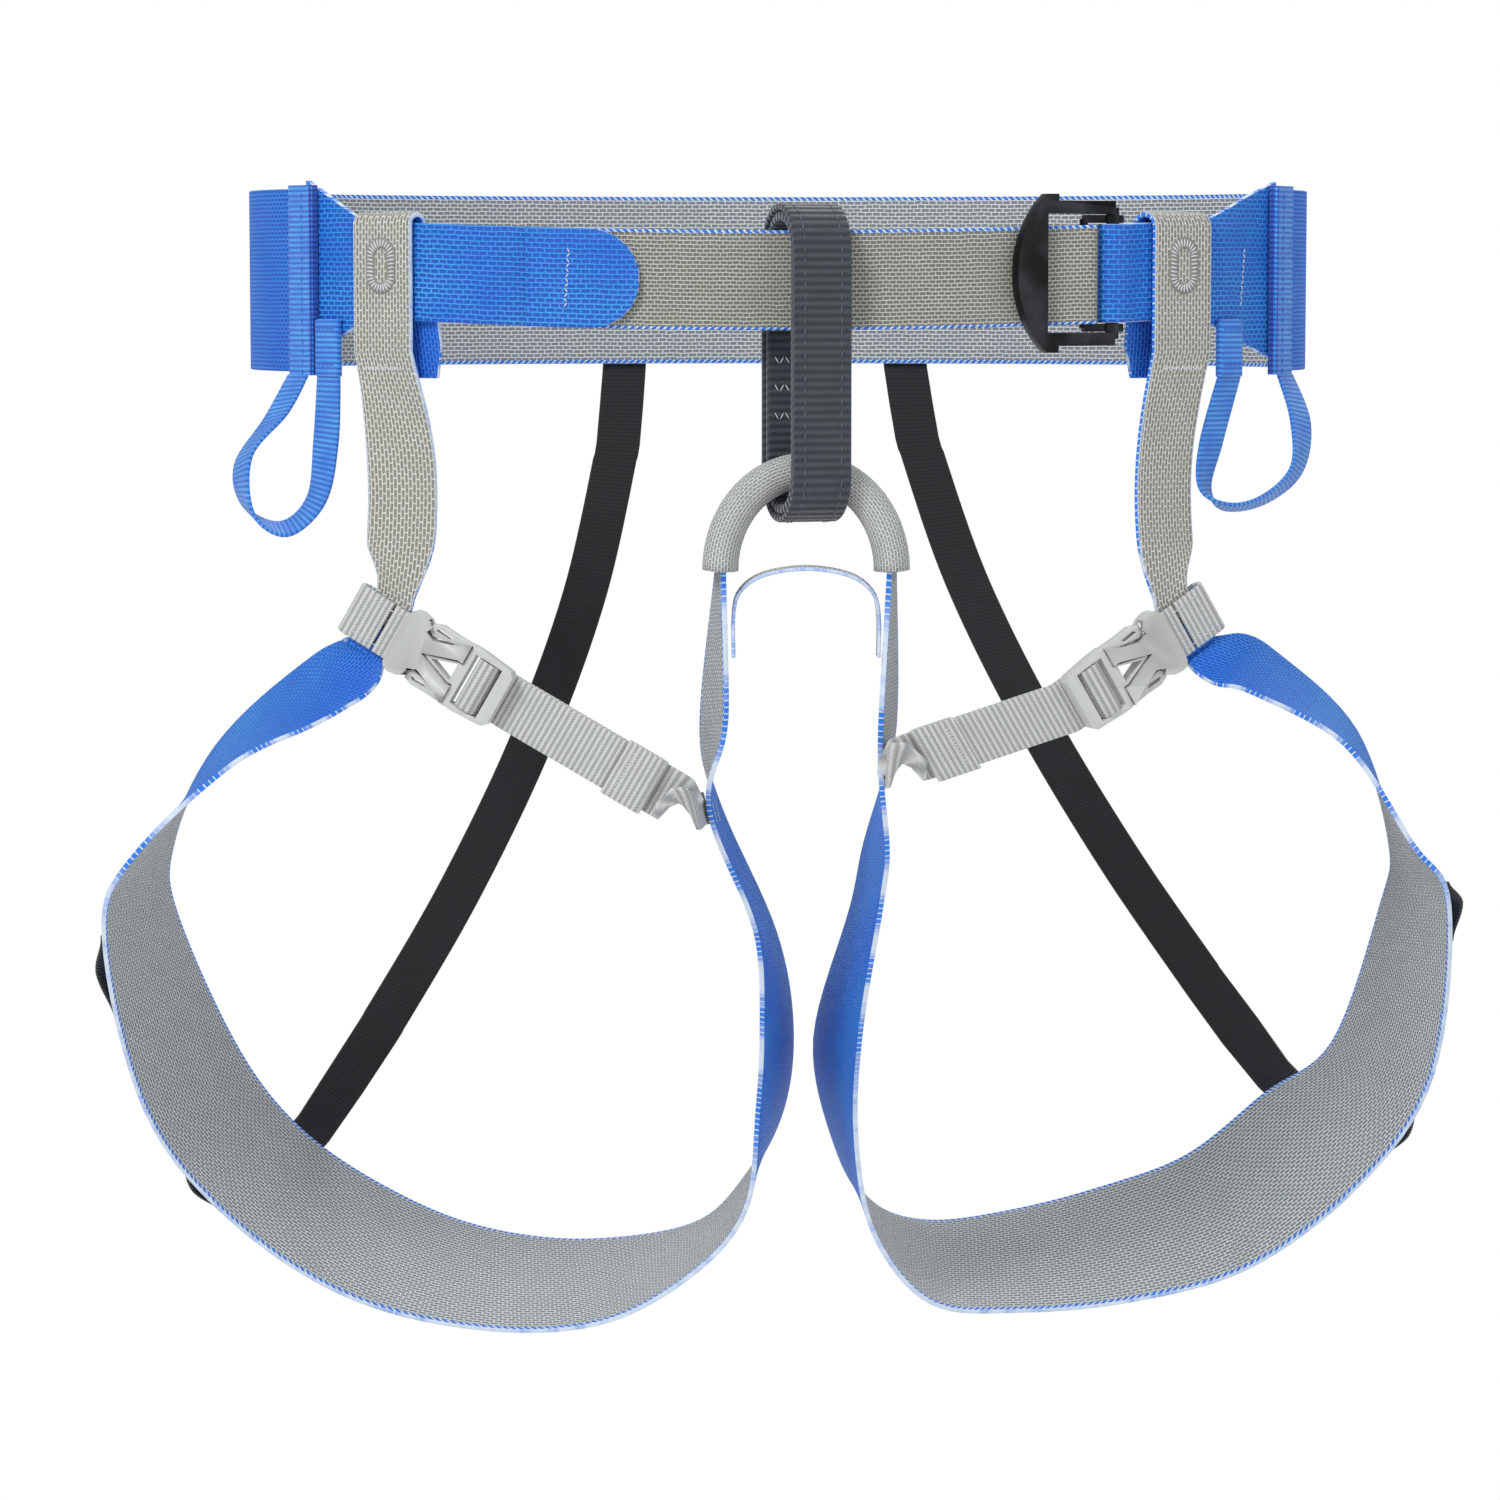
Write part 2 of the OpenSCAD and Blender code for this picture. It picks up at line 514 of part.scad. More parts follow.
// Each row of a leg loop is [x, y, z, across x, y, z, fullness]. The places are shares of the
// loop's width, depth and height, off the line between its two hanging points. The band is as
// wide as its end in the bridge at fullness 0, full at 1, and pinched by the wrap below 0.
leg_shape_right = [
  [0, 0, 0, 0.84, -0.2, -0.5, -1],
  [-0.05, 0.03, -0.03, 0.5, -0.68, -0.6, 0.1],
  [-0.14, 0.07, -0.07, 0.27, -0.86, -0.45, 0.35],
  [-0.32, 0.19, -0.17, 0.25, -1, 0, 0.7],
  [-0.48, 0.32, -0.32, -0.1, -1, 0.05, 0.95],
  [-0.54, 0.43, -0.44, -0.3, -1, 0, 1],
  [-0.51, 0.68, -0.69, -0.45, -0.9, -0.2, 1],
  [-0.43, 0.83, -0.85, -0.4, -0.87, -0.3, 1],
  [-0.29, 0.92, -0.97, -0.3, -0.87, -0.4, 1],
  [-0.14, 0.96, -1.03, 0, -0.9, -0.4, 1],
  [0.02, 0.95, -1.04, 0.1, -0.95, -0.3, 1],
  [0.16, 0.89, -0.99, 0, -1, -0.1, 1],
  [0.22, 0.79, -0.90, 0, -1, 0, 1],
  [0.23, 0.67, -0.77, -0.15, -1, 0.15, 0.95],
  [0.21, 0.53, -0.64, -0.2, -1, 0.15, 0.8],
  [0.16, 0.39, -0.50, -0.15, -1, 0.15, 0.6],
  [0.05, 0.19, -0.32, -0.1, -1, 0.1, 0.3],
  [0.02, 0.09, -0.20, 0.3, -0.95, 0.1, 0.15],
  [0, 0, 0, 0.1, -1, 0.1, 0],
];
leg_shape_left = [
  [0, 0, 0, -0.77, -0.35, -0.5, -1],
  [0.07, 0.01, -0.02, -0.5, -0.7, -0.6, 0.1],
  [0.16, 0.06, -0.05, -0.35, -0.9, -0.3, 0.3],
  [0.33, 0.19, -0.15, -0.2, -1, 0, 0.6],
  [0.45, 0.31, -0.31, 0, -1, 0.1, 0.9],
  [0.51, 0.42, -0.41, 0.25, -1, 0.1, 1],
  [0.51, 0.68, -0.66, 0.46, -0.9, -0.05, 1],
  [0.43, 0.82, -0.80, 0.46, -0.8, -0.4, 1],
  [0.31, 0.91, -0.92, 0.28, -0.8, -0.5, 1],
  [0.17, 0.96, -0.98, 0.1, -0.85, -0.5, 1],
  [0.02, 0.95, -1.01, 0, -0.9, -0.4, 1],
  [-0.10, 0.90, -1.01, 0, -1, -0.3, 1],
  [-0.17, 0.81, -0.94, 0, -1, 0, 1],
  [-0.19, 0.70, -0.82, 0.1, -1, 0.2, 1],
  [-0.18, 0.54, -0.66, 0.25, -1, 0.15, 0.95],
  [-0.11, 0.34, -0.46, 0.2, -1, 0.15, 0.6],
  [-0.07, 0.25, -0.37, 0.15, -1, 0.1, 0.45],
  [-0.03, 0.10, -0.21, -0.2, -1, 0, 0.15],
  [0, 0, 0, -0.1, -1, 0, 0],
];

leg_steps = 4;                           // stations from one row to the next
function leg_rows(s) = let (
    shape = s < 0 ? leg_shape_right : leg_shape_left,
    last = len(shape) - 1,
    start = wrap_spot(s, -wrap_half - 1),
    end = arch(s < 0 ? 180 : 0) + [0, 0, 1])
  concat([row_at(wrap_spot(s, -clear), clip_dir[side_i(s)], leg_pinch_w)],
    smooth([for (i = [0 : last]) let (r = shape[i])
      concat(mix(start, end, i / last) + [r[0] * leg_w, r[1] * leg_d, r[2] * leg_h],
        unit([r[3], r[4], r[5]]), [r[6] < 0 ? leg_pinch_w : mix(leg_end_w, leg_band_w, r[6])])],
      leg_steps));
legs = [leg_rows(-1), leg_rows(1)];

module leg_band_right() color(blue) webbing(legs[0], leg_band_t);
module leg_band_left() color(blue) webbing(legs[1], leg_band_t);

// A place on a leg loop: the station, then how far across it and how far off its outer face
function leg_spot(s, i, over, off) = let (rows = legs[side_i(s)])
  middle(rows[i]) + across(rows[i]) * over - s * face(rows, i) * off;
function leg_along(s, i) = along(legs[side_i(s)], i);
function leg_across(s, i) = across(legs[side_i(s)][i]);
function leg_half(s, i) = legs[side_i(s)][i][6] / 2;

// The wrap: a short loop of webbing round the end of the leg band and the socket's slot bar
module leg_wrap(s) color(grey) {
  far = -2 * wrap_reach - 1;
  bar = slot_bar[0];
  r = wrap_r_leg;
  loop = concat(
    [for (x = [mix(far, bar, 0.52), far]) [x, r]],
    [for (k = [120 : 30 : 240]) [far + r * cos(k), r * sin(k)]],
    [for (x = [far, bar]) [x, -r]],
    [for (k = [-60 : 30 : 60]) [bar + r * cos(k), r * sin(k)]],
    [for (x = [bar, mix(far, bar, 0.56)]) [x, r]]);
  webbing([for (p = loop) row_at(clip_place(s, [p[0], 0, slot_bar[1] + p[1]]), clip_turn(s, [0, 1, 0]),
    leg_strap_w)], leg_strap_t);
}
module leg_wrap_right() leg_wrap(-1);
module leg_wrap_left() leg_wrap(1);

// ---------- leg straps ----------

root_stations = [65, 68];                // the stations of the leg bands where the straps are sewn
strap_under = -clip_t / 2 + 1 - clear - leg_strap_t / 2;    // under the frame's end bar
strap_lower = strap_under - leg_strap_t - ply_gap;
stop_len = 13;
root_at = function (s) root_stations[side_i(s)];
function leg_root(s) = leg_spot(s, root_at(s), leg_half(s, root_at(s)) * 0.5,
  -leg_band_t / 2 - clear - leg_strap_t / 2);
function leg_root_front(s) = leg_spot(s, root_at(s), leg_half(s, root_at(s)) + 9, -leg_band_t / 2 - 3);

function leg_strap_rows(s) = let (
    flat = clip_turn(s, [0, 1, 0]),
    from = clip_place(s, [clip_len + 2, 0, strap_lower]),
    front = leg_root_front(s),
    upright = leg_along(s, root_at(s)) * s,
    turn = ladder_x)
  concat(
    [row_at(leg_root(s), upright, leg_strap_w * 0.8),
     row_at(mix(leg_root(s), front, 0.5), upright, leg_strap_w * 0.8)],
    [for (k = [0 : 10]) row_at(mix(front, from, k / 10), mix(upright, flat, ease(k / 1.5)), leg_strap_w)],
    [for (p = [[turn + 4, strap_lower + 0.4], [turn, strap_lower + 1.1], [turn - 2.5, -2.4], [turn - 3, 0],
        [turn - 2.2, 2.2], [turn, 2.9], [turn + 2.2, 2.2], [turn + 3, 0.2], [turn + 3.2, -1.7],
        [turn + 5, strap_under - 0.1], [clip_len + 2, strap_under]])
      row_at(clip_place(s, [p[0], 0, p[1]]), flat, leg_strap_w)],
    [for (k = [1 : 3]) row_at(tail_place(s, k / 3), flat, leg_strap_w)]);
tail_share = 0.58;                       // of the way from the buckle to the root
function tail_place(s, k) = mix(clip_place(s, [clip_len + 2, 0, strap_lower]), leg_root_front(s),
  k * tail_share) + clip_turn(s, [0, 0, 1]) * (leg_strap_t + ply_gap);

module leg_strap(s) color(grey) webbing(leg_strap_rows(s), leg_strap_t);
module leg_strap_right() leg_strap(-1);
module leg_strap_left() leg_strap(1);

// The stop: the tail's end folded over and sewn, wider than the strap
module leg_strap_stop(s) {
  rows = [for (k = [0 : 2]) let (
      run = unit(leg_root_front(s) - clip_place(s, [clip_len + 2, 0, strap_lower])))
    row_at(tail_place(s, 1) + run * (clear + k * stop_len / 2) + clip_turn(s, [0, 0, 1]) * 0.6,
      clip_turn(s, [0, 1, 0]), leg_strap_w + 2)];
  color(grey) webbing(rows, 2 * leg_strap_t);
}
module leg_strap_stop_right() leg_strap_stop(-1);
module leg_strap_stop_left() leg_strap_stop(1);

// ---------- tie-in strap ----------

// The thin strap under the bridge, sewn to the two leg bands
strap_tag = 17;                          // how far its ends run down the leg bands
module bridge_strap() color(grey) {
  side = bridge_w / 2 - 4;
  top = foot_z - 1.5;
  webbing(smooth([for (p = [[-side, top - 8 - strap_tag], [-side, top - 12], [-side + 2, top - 5],
      [-side + 9, top], [0, top + 2], [side - 9, top], [side - 2, top - 5], [side, top - 12],
      [side, top - 8 - strap_tag]])
    row_at([bridge_x + p[0], bridge_y + 2, p[1]], front_back, 12)], 2), 1.2);
}

// ---------- gear loops ----------

// Each gear loop hangs from its hem tape and from a sewn tab at the lower edge of the side panel
gear_right = [
  [-157, -55, -42, 0.8, -0.6, 0.2],
  [-167, -60, -56, 0.6, -0.75, 0.3],
  [-165, -65, -71, 0.4, -0.9, -0.2],
  [-154, -66, -77, 0.3, -0.9, -0.4],
  [-144, -64, -68, 0.6, -0.8, -0.2],
  [-141, -62, -50, 0.8, -0.6, -0.1],
];
gear_left = [
  [164, -46, -44, -0.7, -0.7, 0.2],
  [162, -54, -59, -0.4, -0.9, 0.3],
  [151, -62, -68, -0.1, -0.95, 0.3],
  [139, -67, -70, 0.1, -0.95, 0.2],
  [132, -70, -64, -0.4, -0.9, 0],
  [134, -68, -50, -0.75, -0.65, 0],
];
gear_tab_x = [138, 136];
gear_tab_z = [-12, -21, -30];            // a tab's upper end, middle and lower end
gear_seat = 0.5;                         // the loop's ends hang just below the tape and the tab
function gear_tab_angle(s) = belt_angle_of(s * gear_tab_x[side_i(s)]);
function gear_tab_out(s) = (s < 0 ? 0 : panel_out(gear_tab_x[1])) + strap_t / 2 + clear + tape_t;

module gear_loop(s, points) {
  tape_angle = s < 0 ? tape_right : tape_left;
  sewn = [row_at(belt_at(tape_angle, tape_out, -band_h / 2 - 1 - gear_seat), belt_tangent(tape_angle) * -s, tape_w),
    row_at(belt_at(gear_tab_angle(s), gear_tab_out(s), gear_tab_z[2] - gear_seat),
      belt_tangent(gear_tab_angle(s)) * -s, tape_w)];
  route = [for (p = points) row_at([p[0], p[1], p[2]], [p[3], p[4], p[5]], tape_w)];
  color(blue) webbing(smooth([sewn[0], each route, sewn[1]], 4), tape_t);
}
module gear_loop_right() gear_loop(-1, gear_right);
module gear_loop_left() gear_loop(1, gear_left);

module gear_tab(s) color(blue) webbing([for (z = gear_tab_z)
  row_at(belt_at(gear_tab_angle(s), gear_tab_out(s), z), belt_tangent(gear_tab_angle(s)), tape_w + 0.4)],
  2 * tape_t);
module gear_tab_right() gear_tab(-1);
module gear_tab_left() gear_tab(1);

// ---------- rear elastics ----------

// The stations of the leg bands where the elastics end, and their routes down from the belt
elastic_stations = [29, 28];
elastic_gap = 1;                         // the elastic is flat and the leg band under it curves
elastic_top_z = [-6, -20, -30];          // its sewn end on the belt, and the belt's lower edge
elastic_lap = [-8, 4, 16];               // its sewn end on the leg band, from the band's rear edge
elastic_bow = 5;                         // how far it hangs back from a straight line
elastic_x = [51, 43.5];                  // from the middle of the back to each elastic
elastic_bend = [1.7, 1.5];               // how late each elastic turns out to its leg band
function elastic_rows(s) = let (
    angle = s * (180 - belt_angle_of(elastic_x[side_i(s)])),
    out = band_out + (band_t + elastic_t) / 2 + clear,
    tangent = -belt_tangent(angle),
    top = [for (z = elastic_top_z) belt_at(angle, out, z)],
    lift = (leg_band_t + elastic_t) / 2 + elastic_gap,
    i = elastic_stations[side_i(s)],
    half = leg_half(s, i),
    foot = [for (u = elastic_lap) leg_spot(s, i, u - half, lift)],
    drop = foot[0] - top[2])
  concat(
    [for (p = top) row_at(p, tangent, elastic_w)],
    smooth([for (k = [0.1, 0.3, 0.5, 0.7, 0.88]) row_at(
      top[2] + [drop[0] * pow(k, elastic_bend[side_i(s)]), drop[1] * k + elastic_bow * sin(180 * k), drop[2] * k],
      mix([1, 0, 0], unit([0.85, 0.2, s * 0.5]), k), elastic_w)], 3),
    [for (p = foot) row_at(p, leg_along(s, i) * -s, elastic_w)]);
module rear_elastic(s) color(black) webbing(elastic_rows(s), elastic_t);
module rear_elastic_right() rear_elastic(-1);
module rear_elastic_left() rear_elastic(1);

// ---------- ice screw keepers ----------

// Each keeper is a short band of elastic that stands off the outer face of the leg band
keeper_stations = [[22, 28], [21, 27]];
keeper_in = 3;                           // in from the front edge of the leg band
module ice_screw_keepers(s) color(black)
  for (i = keeper_stations[side_i(s)]) {
    lift = (leg_band_t + elastic_t) / 2 + ply_gap;
    spot = function (j, rise) leg_spot(s, j, leg_half(s, j) - keeper_w / 2 - keeper_in, lift + rise);
    webbing([for (k = [-1 : 0.25 : 1]) let (rise = keeper_rise * pow(cos(90 * k), 2))
      row_at(mix(spot(i, rise), spot(i + sign(k), rise), abs(k)),
        mix(leg_across(s, i), leg_across(s, i + sign(k)), abs(k)), keeper_w)], elastic_t);
  }
module ice_screw_keepers_right() ice_screw_keepers(-1);
module ice_screw_keepers_left() ice_screw_keepers(1);

// ---------- stitching ----------

tail_tack = 11;                          // from the fold to the tack
tack_h = 18;                             // height of the two upright tacks
module strap_tail_stitching() color(thread) {
  x = -tail_fold_x + tail_tack;
  angle = belt_angle_of(x);
  translate(belt_at(angle, tail_layer + strap_t / 2 + clear / 2, strap_z(x))) {
    n = belt_out(angle);
    rotate([0, 0, atan2(n[1], n[0])]) translate([0, -0.7, -tack_h / 2]) cube([stitch_t, 1.4, tack_h]);
  }
}

stitched_x = 143;                        // a line of stitching on the left side panel
module hem_stitching() color(thread) {
  x = stitched_x;
  angle = belt_angle_of(x);
  n = belt_out(angle);
  translate(belt_at(angle, panel_out(x) + strap_t / 2 + clear, 1)) rotate([0, 0, atan2(n[1], n[0])])
    translate([0, -0.5, -tack_h / 2]) cube([stitch_t, 1, tack_h]);
}

// An oval ring of stitches above a straight bar, on the face of a riser
module riser_stitching(s) {
  core = riser_core(s);
  angle = belt_angle_of(s * riser_x);
  n = belt_out(angle);
  out = core[0] + core[1] + riser_gap + riser_t + clear / 2;
  color(thread) translate(belt_at(angle, out, 3)) rotate([0, 0, atan2(n[1], n[0])]) rotate([0, 90, 0]) {
    linear_extrude(stitch_t) difference() {
      stadium(5.5, 5);
      stadium(2, 5);
    }
  }
}
module riser_stitching_right() riser_stitching(-1);
module riser_stitching_left() riser_stitching(1);

waistbelt_band();
waist_strap();
waist_anchor_strap();
hem_tape_right();
hem_tape_left();
waist_buckle_frame();
waist_buckle_slider();
strap_tail_stitching();
hem_stitching();
riser_right();
riser_left();
riser_stitching_right();
riser_stitching_left();
leg_band_right();
leg_band_left();
leg_wrap_right();
leg_wrap_left();
leg_clip_socket_right();
leg_clip_socket_left();
leg_clip_frame_right();
leg_clip_frame_left();
leg_strap_right();
leg_strap_left();
leg_strap_stop_right();
leg_strap_stop_left();
belay_loop_core();
belay_loop_cover();
belay_loop_stitching();
bridge_sheath();
bridge_core();
bridge_strap();
gear_loop_right();
gear_loop_left();
gear_tab_right();
gear_tab_left();
rear_elastic_right();
rear_elastic_left();
ice_screw_keepers_right();
ice_screw_keepers_left();
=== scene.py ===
"""Climbing harness: the finished look of each strap, buckle and seam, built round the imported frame."""
import math

import bmesh
import bpy
from mathutils import Matrix, Vector


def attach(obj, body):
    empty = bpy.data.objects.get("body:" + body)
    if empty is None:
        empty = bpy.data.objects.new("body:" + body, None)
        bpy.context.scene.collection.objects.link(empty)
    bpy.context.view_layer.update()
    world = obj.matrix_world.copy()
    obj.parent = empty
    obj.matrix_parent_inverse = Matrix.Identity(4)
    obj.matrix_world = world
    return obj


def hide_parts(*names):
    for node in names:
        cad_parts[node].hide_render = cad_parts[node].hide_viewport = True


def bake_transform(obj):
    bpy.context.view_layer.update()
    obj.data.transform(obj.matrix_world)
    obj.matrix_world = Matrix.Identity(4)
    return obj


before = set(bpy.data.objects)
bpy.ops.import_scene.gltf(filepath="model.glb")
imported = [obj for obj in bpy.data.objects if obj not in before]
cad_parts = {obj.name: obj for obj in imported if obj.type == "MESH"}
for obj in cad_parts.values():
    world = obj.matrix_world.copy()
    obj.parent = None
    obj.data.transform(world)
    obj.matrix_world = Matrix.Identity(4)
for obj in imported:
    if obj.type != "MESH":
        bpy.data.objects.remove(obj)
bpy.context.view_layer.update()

MM = 0.001
RIGHT, LEFT = -1, 1


# ---- Camera, backdrop and light ----------------------------------------------------------
# The harness hangs as if worn, seen from the front and a little above. The light is soft and
# even, with a brighter side to the upper left, and the surroundings are plain white.

WHITE_SURROUND = (1, 1, 1, 1)


def node(tree, kind, feeds=None, ends=(), **settings):
    """Adds a shader node. A setting is an attribute or the name of an input; feeds gives an input,
    by its number or name, the output that feeds it or its value; ends holds the place and the
    colour of each end of a ramp."""
    made = tree.nodes.new("ShaderNode" + kind)
    inputs = {}
    for socket in made.inputs:
        inputs.setdefault(socket.name.replace(" ", "_"), socket)
    for name, value in settings.items():
        if name in inputs and not hasattr(made, name):
            inputs[name].default_value = value
        else:
            setattr(made, name, value)
    for name, source in (feeds or {}).items():
        target = made.inputs[name] if isinstance(name, int) else inputs[name]
        if isinstance(source, bpy.types.NodeSocket):
            tree.links.new(source, target)
        else:
            target.default_value = source
    if ends:
        for end, (position, hex_code) in zip(made.color_ramp.elements, ends):
            end.position, end.color = position, colour(hex_code)
    return made


view = bpy.data.cameras.new("view")
view.lens = 118.8
view.clip_end = 20
camera = bpy.data.objects.new("view", view)
camera.location = (-0.009, -1.605, 0)
camera.rotation_euler = (math.radians(90 - 5.42), 0, 0)
bpy.context.collection.objects.link(camera)
bpy.context.scene.camera = camera
bpy.context.scene.view_settings.view_transform = "Standard"

world = bpy.data.worlds.new("studio")
bpy.context.scene.world = world
world.use_nodes = True
tree = world.node_tree
tree.nodes.clear()
rays = node(tree, "LightPath")
seen = node(tree, "Math", {0: rays.outputs["Is Camera Ray"], 1: rays.outputs["Is Transmission Ray"]},
            operation="MAXIMUM")
soft_light = node(tree, "Background", Color=(0.95, 0.97, 1, 1), Strength=0.55)
white = node(tree, "Background", Color=WHITE_SURROUND, Strength=1)
mixed = node(tree, "MixShader", {0: seen.outputs[0], 1: soft_light.outputs[0], 2: white.outputs[0]})
node(tree, "OutputWorld", {"Surface": mixed.outputs[0]})

for name, place, size, power in (("key", (-1.2, -1.8, 1.7), 0.8, 42), ("fill", (1.6, -1.7, 0.4), 1.5, 9),
                                 ("back", (0.4, 1.6, 1.4), 1.2, 18)):
    lamp = bpy.data.lights.new(name, "AREA")
    lamp.size = size
    lamp.energy = power
    holder = bpy.data.objects.new(name, lamp)
    holder.location = place
    holder.rotation_euler = (Vector((0, 0, -0.15)) - Vector(place)).to_track_quat("-Z", "Y").to_euler()
    bpy.context.collection.objects.link(holder)

floor_mesh = bpy.data.meshes.new("floor")
bm = bmesh.new()
bmesh.ops.create_grid(bm, x_segments=1, y_segments=1, size=6)
bm.to_mesh(floor_mesh)
bm.free()
floor = bpy.data.objects.new("floor", floor_mesh)
floor.location = (0, 0, -0.62)
bpy.context.collection.objects.link(floor)
paper = bpy.data.materials.new("matt white paper")
paper.use_nodes = True
tree = paper.node_tree
tree.nodes.clear()
rays = node(tree, "LightPath")
matt = node(tree, "BsdfDiffuse", Color=(0.86, 0.86, 0.86, 1))
glow = node(tree, "Emission", Color=WHITE_SURROUND, Strength=1)
seen = node(tree, "Math", {0: rays.outputs["Is Camera Ray"], 1: rays.outputs["Is Glossy Ray"]},
            operation="MAXIMUM")
mixed = node(tree, "MixShader", {0: seen.outputs[0], 1: matt.outputs[0], 2: glow.outputs[0]})
node(tree, "OutputMaterial", {"Surface": mixed.outputs[0]})
floor_mesh.materials.append(paper)


# ---- Waist belt band ---------------------------------------------------------------------
# A 57 mm band of flat webbing round the back from hem to hem. It is woven in one piece, blue
# on the outside and an open grey mesh on the inside, with a blue cord along each edge.

WAIST_W, WAIST_D = 334, 210
RX, RY = WAIST_W / 2, WAIST_D / 2
BAND_H, BAND_T = 57, 1.6
STRAP_W, STRAP_T = 30, 2
PLY_GAP, CLEAR = 0.5, 0.3
HEM_RIGHT, HEM_LEFT = math.radians(58.5), math.radians(66)
BAND_OUT = (STRAP_T + BAND_T) / 2 + PLY_GAP

BLUE, BLUE_DEEP = "#1F78E4", "#0F48B8"
MIX_A, MIX_B, MIXED = 6, 7, 2       # the colour sockets of a mix node


def colour(hex_code):
    """An sRGB hex value as linear RGBA."""
    parts = [int(hex_code[i:i + 2], 16) / 255 for i in (1, 3, 5)]
    return tuple(c / 12.92 if c <= 0.04045 else ((c + 0.055) / 1.055) ** 2.4 for c in parts) + (1,)


def row(place, across, width):
    """One station of a strap: its middle, the direction across it and its width, in millimetres."""
    return Vector(place), Vector(across).normalized(), width


def mix(a, b, k):
    return a + (b - a) * k


def ease(k):
    k = min(max(k, 0), 1)
    return k * k * (3 - 2 * k)


def bend(p, q, r, s, t):
    """A point on the smooth curve from q to r, whose neighbours are p and s."""
    return 0.5 * (2 * q + (r - p) * t + (2 * p - 5 * q + 4 * r - s) * t * t
                  + (3 * q - p - 3 * r + s) * t * t * t)


def smooth(rows, steps):
    """The rows with steps stations from each one to the next."""
    last = len(rows) - 1
    made = []
    for i in range(last):
        p, q, r, s = (rows[j] for j in (max(i - 1, 0), i, i + 1, min(i + 2, last)))
        for k in range(steps):
            made.append(tuple(bend(p[n], q[n], r[n], s[n], k / steps) for n in range(3)))
    return made + [rows[last]]


def belt_at(angle, out, z):
    return Vector(((RX + out) * math.sin(angle), -(RY + out) * math.cos(angle), z))


def belt_tangent(angle):
    return Vector((RX * math.cos(angle), RY * math.sin(angle), 0)).normalized()


def belt_out(angle):
    return Vector((RY * math.sin(angle), -RX * math.cos(angle), 0)).normalized()


def stations(rows):
    """Along, across and face directions at each row, and the length of strap up to it."""
    made, run = [], 0
    for i, (middle, across, width) in enumerate(rows):
        if i:
            run += (middle - rows[i - 1][0]).length
        along = (rows[min(i + 1, len(rows) - 1)][0] - rows[max(i - 1, 0)][0]).normalized()
        across = across.normalized()
        made.append((along, across, along.cross(across).normalized(), run))
    return made


def place_piece(name, bm, materials):
    """Makes a bmesh an object of the scene, in metres, and gives it its materials."""
    bmesh.ops.scale(bm, vec=(MM, MM, MM), verts=bm.verts)
    mesh = bpy.data.meshes.new(name)
    bm.to_mesh(mesh)
    bm.free()
    for material in materials:
        mesh.materials.append(material)
    mesh.shade_smooth()
    piece = bpy.data.objects.new(name, mesh)
    bpy.context.collection.objects.link(piece)
    return piece


def webbing(name, rows, thick, materials, turned=False, lift=0, crown=0, wide_segments=6):
    """A strap along the rows. Its outer side has the first material, its inner side the second and
    its edges the third. The weave map holds centimetres along and across the strap; the border map
    holds centimetres in from the nearer edge."""
    n = len(rows) - 1
    bm = bmesh.new()
    bmesh.ops.create_grid(bm, x_segments=n, y_segments=wide_segments, size=0.5)
    frames = stations(rows)
    weave = bm.loops.layers.uv.new("weave")
    border = bm.loops.layers.uv.new("border")
    cells = {v: (round((v.co.x + 0.5) * n), v.co.y) for v in bm.verts}
    for f in bm.faces:
        for loop in f.loops:
            i, share = cells[loop.vert]
            width = rows[i][2]
            loop[weave].uv = (frames[i][3] / 10, share * width / 10)
            loop[border].uv = (frames[i][3] / 10, (0.5 - abs(share)) * width / 10)
    for v, (i, share) in cells.items():
        along, across, face, run = frames[i]
        middle, _, width = rows[i]
        v.co = middle + across * share * width + face * (lift + crown * (0.25 - share * share) * 4)
    if turned:
        bmesh.ops.reverse_faces(bm, faces=bm.faces)
    piece = place_piece(name, bm, materials)
    body = piece.modifiers.new("thickness", "SOLIDIFY")
    body.thickness = thick * MM
    body.offset = 0
    body.use_even_offset = False
    body.material_offset = min(1, len(materials) - 1)
    body.material_offset_rim = min(2, len(materials) - 1)
    soft = piece.modifiers.new("soft edges", "BEVEL")
    soft.width = thick * 0.3 * MM
    soft.segments = 2
    soft.limit_method = "ANGLE"
    soft.angle_limit = math.radians(60)
    return piece


def surface(name, rough, sheen=0):
    """A new material with its node tree and its shader."""
    material = bpy.data.materials.new(name)
    material.use_nodes = True
    shader = material.node_tree.nodes["Principled BSDF"]
    shader.inputs["Roughness"].default_value = rough
    shader.inputs["Sheen Weight"].default_value = sheen
    return material, material.node_tree, shader


